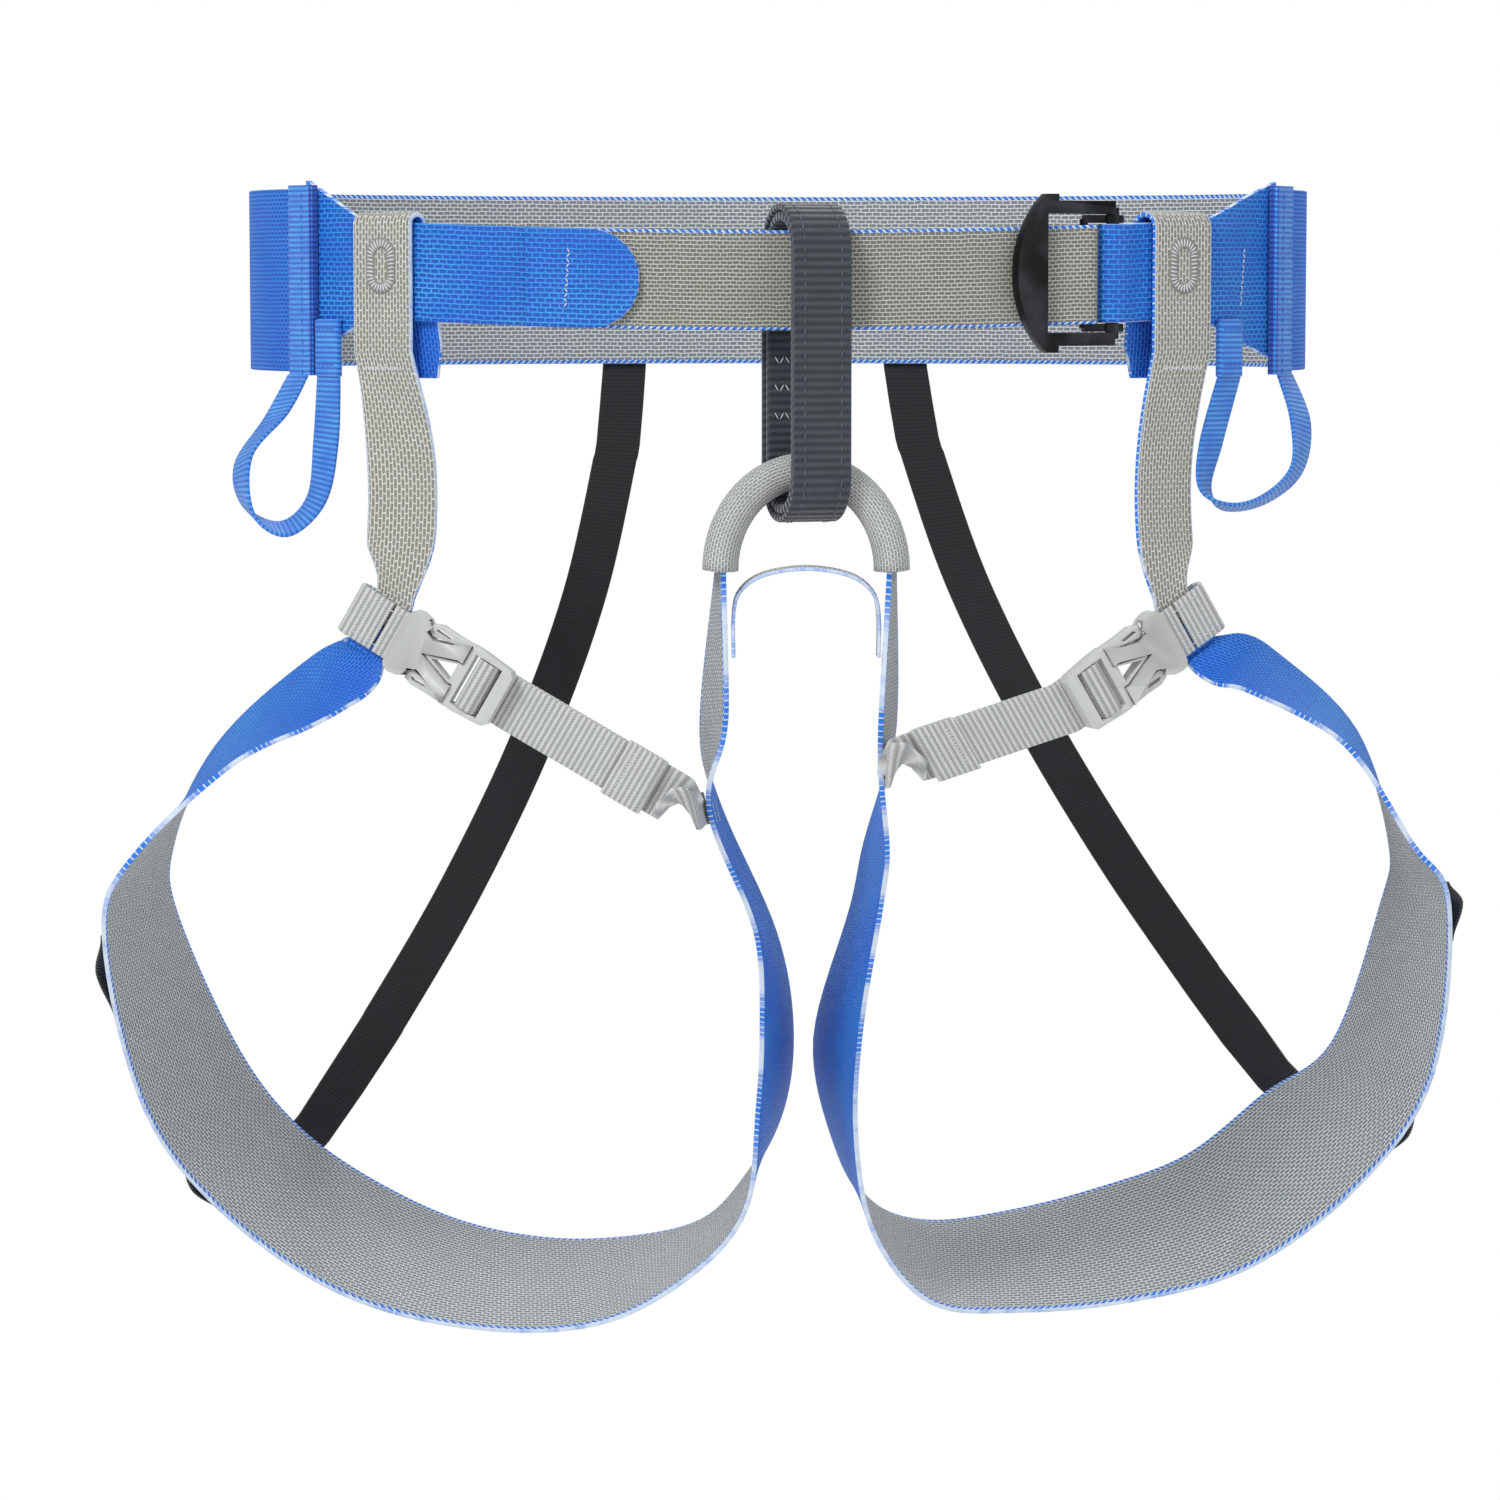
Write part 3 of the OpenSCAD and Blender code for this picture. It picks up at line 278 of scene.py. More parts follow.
def woven(name, thread, shade, pitch_along, pitch_across, light, gap=0.16, relief=0.6, edge=None, edge_w=1.2,
          light_scale=30, rough=0.78, sheen=0.1):
    """Polyester webbing. Its threads show as staggered rows of long dark gaps, pitch_along and
    pitch_across millimetres apart. edge holds the two colours of the cord in its border, which is
    edge_w millimetres wide."""
    material, tree, shader = surface(name, rough, sheen)
    shader.inputs["Sheen Tint"].default_value = colour(light)
    weave = node(tree, "UVMap", uv_map="weave")
    # the map is in centimetres, the pattern in gaps; a slow drift keeps the rows from being ruled
    gaps = node(tree, "Mapping", {"Vector": weave.outputs[0]}, Scale=(10 / pitch_along, 5 / pitch_across, 1))
    drift = node(tree, "TexNoise", {"Vector": gaps.outputs[0]}, Scale=0.5, Detail=1)
    shift = node(tree, "VectorMath", {0: drift.outputs["Color"], 1: (0.5, 0.2, 0), 2: gaps.outputs[0]},
                 operation="MULTIPLY_ADD")
    bricks = node(tree, "TexBrick", {"Vector": shift.outputs[0]}, offset=0.5, Scale=1, Brick_Width=1,
                  Row_Height=0.5, Mortar_Size=gap, Mortar_Smooth=0.85, Color1=(0, 0, 0, 1), Color2=(0, 0, 0, 1),
                  Mortar=(1, 1, 1, 1))
    # painted highlight: noise patches blend the thread colour toward the light colour
    highlight_patches = node(tree, "TexNoise", {"Vector": weave.outputs[0]}, Scale=light_scale / 30, Detail=3)
    tone = node(tree, "ValToRGB", {"Fac": highlight_patches.outputs["Fac"]}, ends=((0.32, thread), (0.72, light)))
    body = node(tree, "Mix", {"Factor": bricks.outputs["Color"], MIX_A: colour(shade),
                              MIX_B: tone.outputs["Color"]}, data_type="RGBA")
    result = body.outputs[MIXED]
    if edge:
        near = node(tree, "UVMap", uv_map="border")
        split = node(tree, "SeparateXYZ", {"Vector": near.outputs[0]})
        inside = node(tree, "Math", {0: split.outputs["Y"], 1: edge_w / 10}, operation="LESS_THAN")
        # the cord shows one colour, then the other, every 2.2 mm, in stitches that lean
        turns = node(tree, "Math", {0: split.outputs["X"], 1: 10 / 2.2}, operation="MULTIPLY")
        leaning = node(tree, "Math", {0: split.outputs["Y"], 1: 4.5, 2: turns.outputs[0]},
                       operation="MULTIPLY_ADD")
        part = node(tree, "Math", {0: leaning.outputs[0]}, operation="FRACT")
        half = node(tree, "Math", {0: part.outputs[0], 1: 0.6}, operation="GREATER_THAN")
        cord = node(tree, "Mix", {"Factor": half.outputs[0], MIX_A: colour(edge[0]), MIX_B: colour(edge[1])},
                    data_type="RGBA")
        joined = node(tree, "Mix", {"Factor": inside.outputs[0], MIX_A: result, MIX_B: cord.outputs[MIXED]},
                      data_type="RGBA")
        result = joined.outputs[MIXED]
    tree.links.new(result, shader.inputs["Base Color"])
    bump = node(tree, "Bump", {"Height": bricks.outputs["Color"]}, Strength=relief, Distance=0.0006)
    tree.links.new(bump.outputs[0], shader.inputs["Normal"])
    return material


BLUE_CORD = (BLUE, "#D3DFEE")
# polyester webbing, outer face: close blue rows with a soft sheen and patches of painted highlight
blue_webbing = woven("blue polyester webbing", BLUE, BLUE_DEEP, 2.4, 1.3, "#2F93EE", light_scale=14,
                     rough=0.6, sheen=0.2)
# the same webbing inside: pale threads over an open mesh, drawn at its real 2.6 mm pitch
grey_mesh = woven("grey polyester mesh", "#D6D8D6", "#767F8A", 2.6, 1.3, "#E0E1DE", gap=0.155, relief=0.8,
                  edge=BLUE_CORD, edge_w=1.3)
# the cord along the edges: blue showing between pale threads
edge_cord = woven("blue and pale edge cord", "#D3DFEE", BLUE, 2.2, 3, "#D3DFEE", gap=0.2, relief=0.5, rough=0.7)

step = math.radians(3)
first, last = HEM_LEFT, 2 * math.pi - HEM_RIGHT
count = round((last - first) / step)
angles = [mix(first, last, k / count) for k in range(count + 1)]
band = webbing("belt_band", [row(belt_at(a, BAND_OUT, 0), (0, 0, 1), BAND_H) for a in angles], BAND_T,
               (blue_webbing, grey_mesh, edge_cord), wide_segments=12)
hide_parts("waistbelt_band")
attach(band, "waistbelt")


# ---- Waist strap -------------------------------------------------------------------------
# One 30 mm strap: it starts as the blue side panel at the right hem, turns round the slider's
# bar, comes back with its grey side out, and its end is folded over blue and sewn down.

BUCKLE_X, BAR_D = 101, 4
LAYER = STRAP_T + PLY_GAP
MID = LAYER / 2
SLIDE_BAR_T = 2.6
SLIDE_X = BUCKLE_X - 9
WRAP_R = SLIDE_BAR_T / 2 + PLY_GAP + STRAP_T / 2
PANEL_X, HEM_LAP = 128, math.radians(3)
TAIL_FOLD, TAIL_END = -73, 32
HEM_X_RIGHT, HEM_X_LEFT = RX * math.sin(HEM_RIGHT + HEM_LAP), RX * math.sin(HEM_LEFT + HEM_LAP)
RISER_X = 120


def strap_z(x):
    return 3 * min(abs(x) / RISER_X, 1) ** 2


def belt_row(x, out, width, z=None):
    return row(belt_at(math.asin(x / RX), out, strap_z(x) if z is None else z), (0, 0, 1), width)


def panel_height(x, hem_x):
    k = (abs(x) - PANEL_X) / (hem_x - PANEL_X)
    return mix(STRAP_W, BAND_H - 1, min(k, 1)) if k > 0 else STRAP_W


def near(x, centre, reach):
    return ease(1 - abs(x - centre) / reach)


def turn(first, last, step):
    """Angles in radians from first to last, both in degrees."""
    return [math.radians(k) for k in range(first, last + (1 if step > 0 else -1), step)]


rows = []
for k in range(49):
    x = mix(-HEM_X_RIGHT, SLIDE_X, k / 48)
    rows.append(belt_row(x, mix(0, MID - WRAP_R, near(x, SLIDE_X, 10)), panel_height(x, HEM_X_RIGHT)))
for k in turn(-60, 90, 15):
    rows.append(belt_row(SLIDE_X + WRAP_R * math.cos(k), MID + WRAP_R * math.sin(k), STRAP_W, strap_z(SLIDE_X)))
for k in range(1, 41):
    x = mix(SLIDE_X, TAIL_FOLD, k / 40)
    rows.append(belt_row(x, mix(LAYER, MID + WRAP_R, near(x, SLIDE_X, 10)), STRAP_W))
for k in turn(-60, 60, 15):
    rows.append(belt_row(TAIL_FOLD - MID * math.cos(k), LAYER + MID * (1 + math.sin(k)), STRAP_W,
                         strap_z(TAIL_FOLD)))
tip = TAIL_FOLD + TAIL_END
for k in range(6):
    rows.append(belt_row(mix(TAIL_FOLD, tip - STRAP_W / 2, k / 5), 2 * LAYER, STRAP_W))
for k in turn(10, 80, 10):
    rows.append(belt_row(tip - STRAP_W / 2 * (1 - math.sin(k)), 2 * LAYER, STRAP_W * math.cos(k)))

# strap webbing is denser than the band: on its grey side the rows are 1.2 mm apart
strap_blue = woven("blue strap webbing", "#2182E8", "#1150C0", 2.8, 1.5, "#45AAF2", relief=0.8,
                   light_scale=10, rough=0.5, sheen=0.3)
strap_grey = woven("grey strap webbing", "#C0C0B7", "#6F6E66", 2.0, 1.2, "#CBCBC3", relief=0.8,
                   edge=BLUE_CORD, edge_w=0.9)
strap = webbing("belt_strap", rows, STRAP_T, (strap_blue, strap_grey, edge_cord),
                wide_segments=10)
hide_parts("waist_strap")
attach(strap, "waistbelt")

# The anchor strap: the blue side panel at the left hem, looped round the buckle's hinge bar.
LOOP_R = BAR_D / 2 + CLEAR + STRAP_T / 2
LOOP_REACH = RISER_X - 11 - BUCKLE_X + 1


def panel_out(x):
    return LAYER * ease((HEM_X_LEFT - 8 - x) / 16)


rows = []
for k in range(13):
    x = mix(HEM_X_LEFT, PANEL_X + 6, k / 12)
    rows.append(belt_row(x, panel_out(x), panel_height(x, HEM_X_LEFT)))
for k in range(13):
    x = mix(PANEL_X, BUCKLE_X + 1, k / 12)
    rows.append(belt_row(x, mix(LAYER, MID + LOOP_R, near(x, BUCKLE_X, LOOP_REACH)), STRAP_W))
for k in turn(90, 270, 15):
    rows.append(belt_row(BUCKLE_X + LOOP_R * math.cos(k), MID + LOOP_R * math.sin(k), STRAP_W,
                         strap_z(BUCKLE_X)))
for k in range(1, 13):
    x = mix(BUCKLE_X, BUCKLE_X + 26, k / 12)
    rows.append(belt_row(x, mix(0, MID - LOOP_R, near(x, BUCKLE_X, LOOP_REACH)), STRAP_W))
anchor = webbing("anchor_strap", rows, STRAP_T, (strap_blue, strap_grey, edge_cord),
                 turned=True, wide_segments=10)
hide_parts("waist_anchor_strap")
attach(anchor, "waistbelt")


# ---- Hem tapes and their stitching -------------------------------------------------------
# A 10 mm ribbed tape is folded over the place where the band and each side panel are sewn
# together, and held with two rows of stitches.

TAPE_W, TAPE_T = 10, 1.2
TAPE_OUT = BAND_OUT + (BAND_T + TAPE_T) / 2 + CLEAR
TAPE_ANGLE = {RIGHT: -HEM_RIGHT - math.radians(3), LEFT: HEM_LEFT + math.radians(3)}
SIDES = ((RIGHT, "right"), (LEFT, "left"))


def ribbed(name, thread, shade, pitch, light, relief=0.6, rough=0.6, fine_pitch=0.9):
    """Narrow tape with ribs across it, pitch millimetres apart, and fine threads along it."""
    material, tree, shader = surface(name, rough, 0.3)
    weave = node(tree, "UVMap", uv_map="weave")
    split = node(tree, "SeparateXYZ", {"Vector": weave.outputs[0]})
    turns = node(tree, "Math", {0: split.outputs["X"], 1: 10 * 2 * math.pi / pitch}, operation="MULTIPLY")
    fine = node(tree, "Math", {0: split.outputs["Y"], 1: 10 * 2 * math.pi / fine_pitch}, operation="MULTIPLY")
    threads = node(tree, "Math", {0: fine.outputs[0]}, operation="SINE")
    wavy = node(tree, "Math", {0: threads.outputs[0], 1: 0.5, 2: turns.outputs[0]}, operation="MULTIPLY_ADD")
    ribs = node(tree, "Math", {0: wavy.outputs[0]}, operation="SINE")
    height = node(tree, "MapRange", {"Value": ribs.outputs[0]}, From_Min=-1, From_Max=1)
    # painted highlight: noise patches blend the thread colour toward the light colour
    highlight_patches = node(tree, "TexNoise", {"Vector": weave.outputs[0]}, Scale=1.2, Detail=3)
    tone = node(tree, "ValToRGB", {"Fac": highlight_patches.outputs["Fac"]}, ends=((0.3, thread), (0.75, light)))
    body = node(tree, "Mix", {"Factor": height.outputs[0], MIX_A: colour(shade),
                              MIX_B: tone.outputs["Color"]}, data_type="RGBA")
    tree.links.new(body.outputs[MIXED], shader.inputs["Base Color"])
    bump = node(tree, "Bump", {"Height": height.outputs[0]}, Strength=relief, Distance=0.0005)
    tree.links.new(bump.outputs[0], shader.inputs["Normal"])
    return material


# polyester binding tape, ribs 1.6 mm apart; a darker copy of it is the painted shade in its fold
TAPE_RIB = 1.6
blue_tape = ribbed("light blue ribbed tape", "#2F8CE8", "#1556C6", TAPE_RIB, "#52B0F2")
fold_shade_tape = ribbed("blue ribbed tape in painted shade", "#1A55C4", "#0C2F86", TAPE_RIB, "#2468D2")
TAPE_OVER, TAPE_FOLD_W, TAPE_FOLD_T = 1.6, 3.4, 0.7       # its reach round the band's end, and its fold
OVER_TURN, FOLD_TURN = math.radians(0.8), math.radians(3.15)

for s, side in SIDES:
    angle = TAPE_ANGLE[s]
    heights = [mix(-(BAND_H + 2) / 2, (BAND_H + 2) / 2, k / 24) for k in range(25)]
    over = angle - s * OVER_TURN
    rows = [row(belt_at(over, TAPE_OUT, z), -belt_tangent(over), TAPE_W + TAPE_OVER) for z in heights]
    tape = webbing("hem_binding_" + side, rows, TAPE_T, (blue_tape,))
    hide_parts("hem_tape_" + side)
    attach(tape, "waistbelt")
    # the tape's fold, drawn in the darker copy of the tape as painted shade
    folded = angle - s * FOLD_TURN
    rows = [row(belt_at(folded, BAND_OUT + 0.9, z), belt_out(folded), TAPE_FOLD_W) for z in heights]
    fold = webbing("hem_fold_" + side, rows, TAPE_FOLD_T, (fold_shade_tape,))
    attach(fold, "waistbelt")


# ---- Seams -------------------------------------------------------------------------------
# Bar tacks and rows of stitches in pale polyester thread, each stitch a small raised bead.

def dyed(name, hex_code):
    """Polyester in one plain colour, with the soft shine of thread."""
    material, _, shader = surface(name, 0.6, 0.3)
    shader.inputs["Base Color"].default_value = colour(hex_code)
    return material


pale_thread = dyed("pale polyester thread", "#D6D8DC")
blue_thread = dyed("blue polyester thread", "#1D5FC8")


def stitches(name, beads, material, body, nodes=(), thick=0.45):
    """Beads of thread. Each is its middle, the direction it runs in, the cloth's face and its length."""
    bm = bmesh.new()
    for middle, run, face, long in beads:
        run = run.normalized()
        side = face.cross(run).normalized()
        face = run.cross(side)
        frame_of = Matrix((run * long, side * thick, face * thick * 0.8)).transposed().to_4x4()
        bmesh.ops.create_icosphere(bm, subdivisions=1, radius=0.5,
                                   matrix=Matrix.Translation(middle) @ frame_of)
    piece = place_piece(name, bm, (material,))
    if nodes:
        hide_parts(*nodes)
    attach(piece, body)


def zigzag(middle, run, face, length, wide, pitch):
    """The beads of a bar tack: short stitches that lean one way and the other along a line."""
    run, face = run.normalized(), face.normalized()
    side = face.cross(run)
    count = max(int(length / pitch), 1)
    beads = []
    for k in range(count):
        lean = 0.5 if k % 2 else -0.5
        at = middle + run * ((k + 0.5) / count - 0.5) * length
        beads.append((at, run * pitch * lean * 1.6 + side * wide, face, math.hypot(pitch, wide)))
    return beads


def line_of_stitches(points, faces, long, gap):
    """Stitches end to end along a line of points."""
    beads = []
    left = 0
    for i in range(len(points) - 1):
        a, b = points[i], points[i + 1]
        run = b - a
        at = left
        while at < run.length:
            beads.append((a + run.normalized() * at, run, faces[i], long))
            at += long + gap
        left = at - run.length
    return beads


TAIL_TACK_X, PANEL_TACK_X, TACK_H, PROUD = TAIL_FOLD + 11, 143, 18, 0.25
angle = math.asin(TAIL_TACK_X / RX)
middle = belt_at(angle, 2 * LAYER + STRAP_T / 2 + PROUD, strap_z(TAIL_TACK_X))
stitches("strap_tail_tack", zigzag(middle, Vector((0.06, 0, 1)), belt_out(angle), TACK_H, 0.9, 1.5), pale_thread,
         "waistbelt", ("strap_tail_stitching",))
angle = math.asin(PANEL_TACK_X / RX)
middle = belt_at(angle, panel_out(PANEL_TACK_X) + STRAP_T / 2 + PROUD, 1)
stitches("side_panel_tack", zigzag(middle, Vector((0.06, 0.05, 1)), belt_out(angle), TACK_H, 0.8, 1.6),
         pale_thread, "waistbelt", ("hem_stitching",))
for s, side in SIDES:
    angle = TAPE_ANGLE[s]
    beads = []
    for over in (-3.2, 3.2):
        points = [belt_at(angle, TAPE_OUT + TAPE_T / 2 + 0.1, z) + belt_tangent(angle) * over
                  for z in (-BAND_H / 2, BAND_H / 2)]
        beads += line_of_stitches(points, [belt_out(angle)], 2.2, 1.0)
    stitches("hem_tape_seam_" + side, beads, blue_thread, "waistbelt")


# ---- Waist buckle ------------------------------------------------------------------------
# Two forged aluminium pieces, black anodised and tumbled to soft edges: the main frame with its
# wide locking bar, and the slider that runs inside it.

# a hard dark skin, paler where handling has polished it, over the fine grain left by tumbling
black_anodised, tree, shader = surface("black anodised aluminium", 0.34)
shader.inputs["Metallic"].default_value = 0.85
place = node(tree, "TexCoord")
grain = node(tree, "TexNoise", {"Vector": place.outputs["Object"]}, Scale=900, Detail=3)
handling = node(tree, "TexNoise", {"Vector": place.outputs["Object"]}, Scale=70, Detail=2)
rubbed = node(tree, "ValToRGB", {"Fac": handling.outputs["Fac"]}, ends=((0.4, "#191A1C"), (0.75, "#3A3B3E")))
tree.links.new(rubbed.outputs["Color"], shader.inputs["Base Color"])
gloss = node(tree, "MapRange", {"Value": grain.outputs["Fac"]}, To_Min=0.28, To_Max=0.42)
tree.links.new(gloss.outputs[0], shader.inputs["Roughness"])
bump = node(tree, "Bump", {"Height": grain.outputs["Fac"]}, Strength=0.08, Distance=0.0002)
tree.links.new(bump.outputs[0], shader.inputs["Normal"])


def rounded_copy(name, cad_node, material, body, radius, segments=3):
    """A merged copy of a rigid CAD solid with its edges rounded off."""
    bm = bmesh.new()
    bm.from_mesh(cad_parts[cad_node].data)
    bmesh.ops.scale(bm, vec=(1 / MM, 1 / MM, 1 / MM), verts=bm.verts)
    bmesh.ops.remove_doubles(bm, verts=bm.verts, dist=0.002)
    bmesh.ops.dissolve_limit(bm, angle_limit=math.radians(2), verts=bm.verts, edges=bm.edges)
    sharp = [e for e in bm.edges if len(e.link_faces) == 2 and e.calc_face_angle() > math.radians(28)]
    bmesh.ops.bevel(bm, geom=sharp, offset=radius, segments=segments, profile=0.5, affect="EDGES",
                    clamp_overlap=True, material=-1)
    piece = place_piece(name, bm, (material,))
    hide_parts(cad_node)
    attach(piece, body)


rounded_copy("buckle_frame", "waist_buckle_frame", black_anodised, "waist_buckle_frame", 0.9)
rounded_copy("buckle_slider", "waist_buckle_slider", black_anodised, "waistbelt", 0.6)


# ---- Leg buckles -------------------------------------------------------------------------
# Side-release buckles moulded in light grey plastic: a socket that holds the wrap, and a frame
# with a tongue, two spring ears and a ladder for the leg strap.

CLIP_AT = {RIGHT: Vector((-RISER_X + 3, -RY + 19, -109)), LEFT: Vector((RISER_X, -RY + 19, -109))}
CLIP_DIR = {RIGHT: Vector((0.84, -0.19, -0.51)).normalized(), LEFT: Vector((-0.77, -0.35, -0.53)).normalized()}
CLIP_UP = {RIGHT: Vector((-0.226, -1, 0)).normalized(), LEFT: Vector((0.4545, -1, 0)).normalized()}
WRAP_REACH, SLOT_BAR, SLOT_BAR_R = 7.2, (3, -1.2), 1.2
LEG_STRAP_W, LEG_STRAP_T = 16.5, 1.4
CLIP_LEN, CLIP_T = 38, 7


def clip_turn(s, v):
    return CLIP_DIR[s] * v[0] + CLIP_UP[s].cross(CLIP_DIR[s]) * v[1] + CLIP_UP[s] * v[2]


def clip_place(s, v):
    return CLIP_AT[s] + clip_turn(s, v)


# acetal, moulded: an even satin with a faint cloud in its colour and the mould's fine texture
grey_plastic, tree, shader = surface("moulded grey acetal", 0.42)
place = node(tree, "TexCoord")
texture = node(tree, "TexNoise", {"Vector": place.outputs["Object"]}, Scale=1500, Detail=2)
cloudy = node(tree, "TexNoise", {"Vector": place.outputs["Object"]}, Scale=60, Detail=2)
tone = node(tree, "ValToRGB", {"Fac": cloudy.outputs["Fac"]}, ends=((0, "#BBBEB9"), (1, "#CBCEC9")))
tree.links.new(tone.outputs["Color"], shader.inputs["Base Color"])
bump = node(tree, "Bump", {"Height": texture.outputs["Fac"]}, Strength=0.06, Distance=0.0002)
tree.links.new(bump.outputs[0], shader.inputs["Normal"])

for s, side in SIDES:
    rounded_copy("leg_socket_" + side, "leg_clip_socket_" + side, grey_plastic, "leg_loops", 0.45, 2)
    rounded_copy("leg_frame_" + side, "leg_clip_frame_" + side, grey_plastic, "leg_clip_" + side,
                 0.5, 2)


# ---- Wraps -------------------------------------------------------------------------------
# A short loop of grey webbing joins each leg buckle to the riser and the leg band, sewn
# through all of them with a box of stitches.

WRAP_R_LEG = SLOT_BAR_R + CLEAR + LEG_STRAP_T / 2
WRAP_HALF = LEG_STRAP_W / 2
# polyester strap, dry and matt, ribs 1.8 mm apart
grey_strap = ribbed("light grey ribbed strap", "#C9CBC6", "#94989A", 1.8, "#D3D5D0", relief=0.5, rough=0.75)


def wrap_spot(s, rise):
    return clip_place(s, (-WRAP_REACH, 0, SLOT_BAR[1])) - clip_turn(s, (0, 1, 0)) * s * rise


for s, side in SIDES:
    far, bar, r = -2 * WRAP_REACH - 1, SLOT_BAR[0], WRAP_R_LEG
    loop = [(x, r) for x in (mix(far, bar, 0.52), mix(far, bar, 0.26), far)]
    loop += [(far + r * math.cos(k), r * math.sin(k)) for k in turn(110, 250, 20)]
    loop += [(x, -r) for x in (far, mix(far, bar, 0.5), bar)]
    loop += [(bar + r * math.cos(k), r * math.sin(k)) for k in turn(-70, 70, 20)]
    loop += [(x, r) for x in (bar, mix(far, bar, 0.8), mix(far, bar, 0.56))]
    rows = [row(clip_place(s, (x, 0, SLOT_BAR[1] + z)), clip_turn(s, (0, 1, 0)), LEG_STRAP_W) for x, z in loop]
    wrap = webbing("wrap_" + side, rows, LEG_STRAP_T, (grey_strap,))
    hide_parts("leg_wrap_" + side)
    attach(wrap, "leg_loops")
    lift = SLOT_BAR[1] + r + LEG_STRAP_T / 2 + 0.1
    corners = [(-13.5, -6), (-13.5, 6), (-2.5, 6), (-2.5, -6), (-13.5, -6)]
    beads = line_of_stitches([clip_place(s, (x, y, lift)) for x, y in corners], [CLIP_UP[s]] * 4, 1.7, 0.8)
    stitches("wrap_seam_" + side, beads, pale_thread, "leg_loops", thick=0.35)


# ---- Risers ------------------------------------------------------------------------------
# Flat straps that hang the leg loops from the belt: grey side out, blue behind, wrapped over
# the waist strap and held with an oval tack above and a bar tack below.

RISER_W, RISER_T, RISER_GAP, RISER_BOW = 22, 1.6, 0.9, 4
RISER_TOP = 3 + STRAP_W / 2
RISER_TURN = {RIGHT: math.radians(-12), LEFT: math.radians(36)}
RISER_CORE = {RIGHT: (0, STRAP_T / 2), LEFT: (LAYER / 2, (LAYER + STRAP_T) / 2)}
RISER_LEAN = {RIGHT: 8, LEFT: 4}
PINCH_W = 13
TACK_R, TACK_RISE, TACK_Z = 4, 3, 4.5       # the oval tack: its half circles, its straight half and its height

# polyester webbing with a dry face and pale edges, its long threads 1.2 mm apart
riser_grey = woven("grey riser webbing", "#CECEC6", "#85837A", 3.0, 1.2, "#D9D9D2", relief=0.7, rough=0.75,
                   edge=("#B9C6D6", "#D9DDE0"), edge_w=0.6)
lilac_thread = dyed("lilac grey polyester thread", "#D4D2D6")
# painted shade: a darker grey for the flat ring laid under each oval tack
tack_shade_grey = dyed("painted shade under tack stitches", "#86837E")


def racetrack_plate(name, centre, across, radius, rise, half_width):
    """A thin flat oval ring of painted shade under a tack, a darker grey round the stitches."""
    bm = bmesh.new()
    bmesh.ops.create_grid(bm, x_segments=32, y_segments=1, size=0.5)
    for v in bm.verts:
        k = (v.co.x + 0.5) * 2 * math.pi
        size = radius + 2 * v.co.y * half_width
        up = rise if math.cos(k) > 0 else -rise
        v.co = centre + across * size * math.sin(k) + Vector((0, 0, size * math.cos(k) + up))
    bmesh.ops.remove_doubles(bm, verts=bm.verts, dist=0.001)
    bmesh.ops.recalc_face_normals(bm, faces=bm.faces)
    piece = place_piece(name, bm, (tack_shade_grey,))
    plate = piece.modifiers.new("thickness", "SOLIDIFY")
    plate.thickness = 0.15 * MM
    plate.offset = 0
    return piece


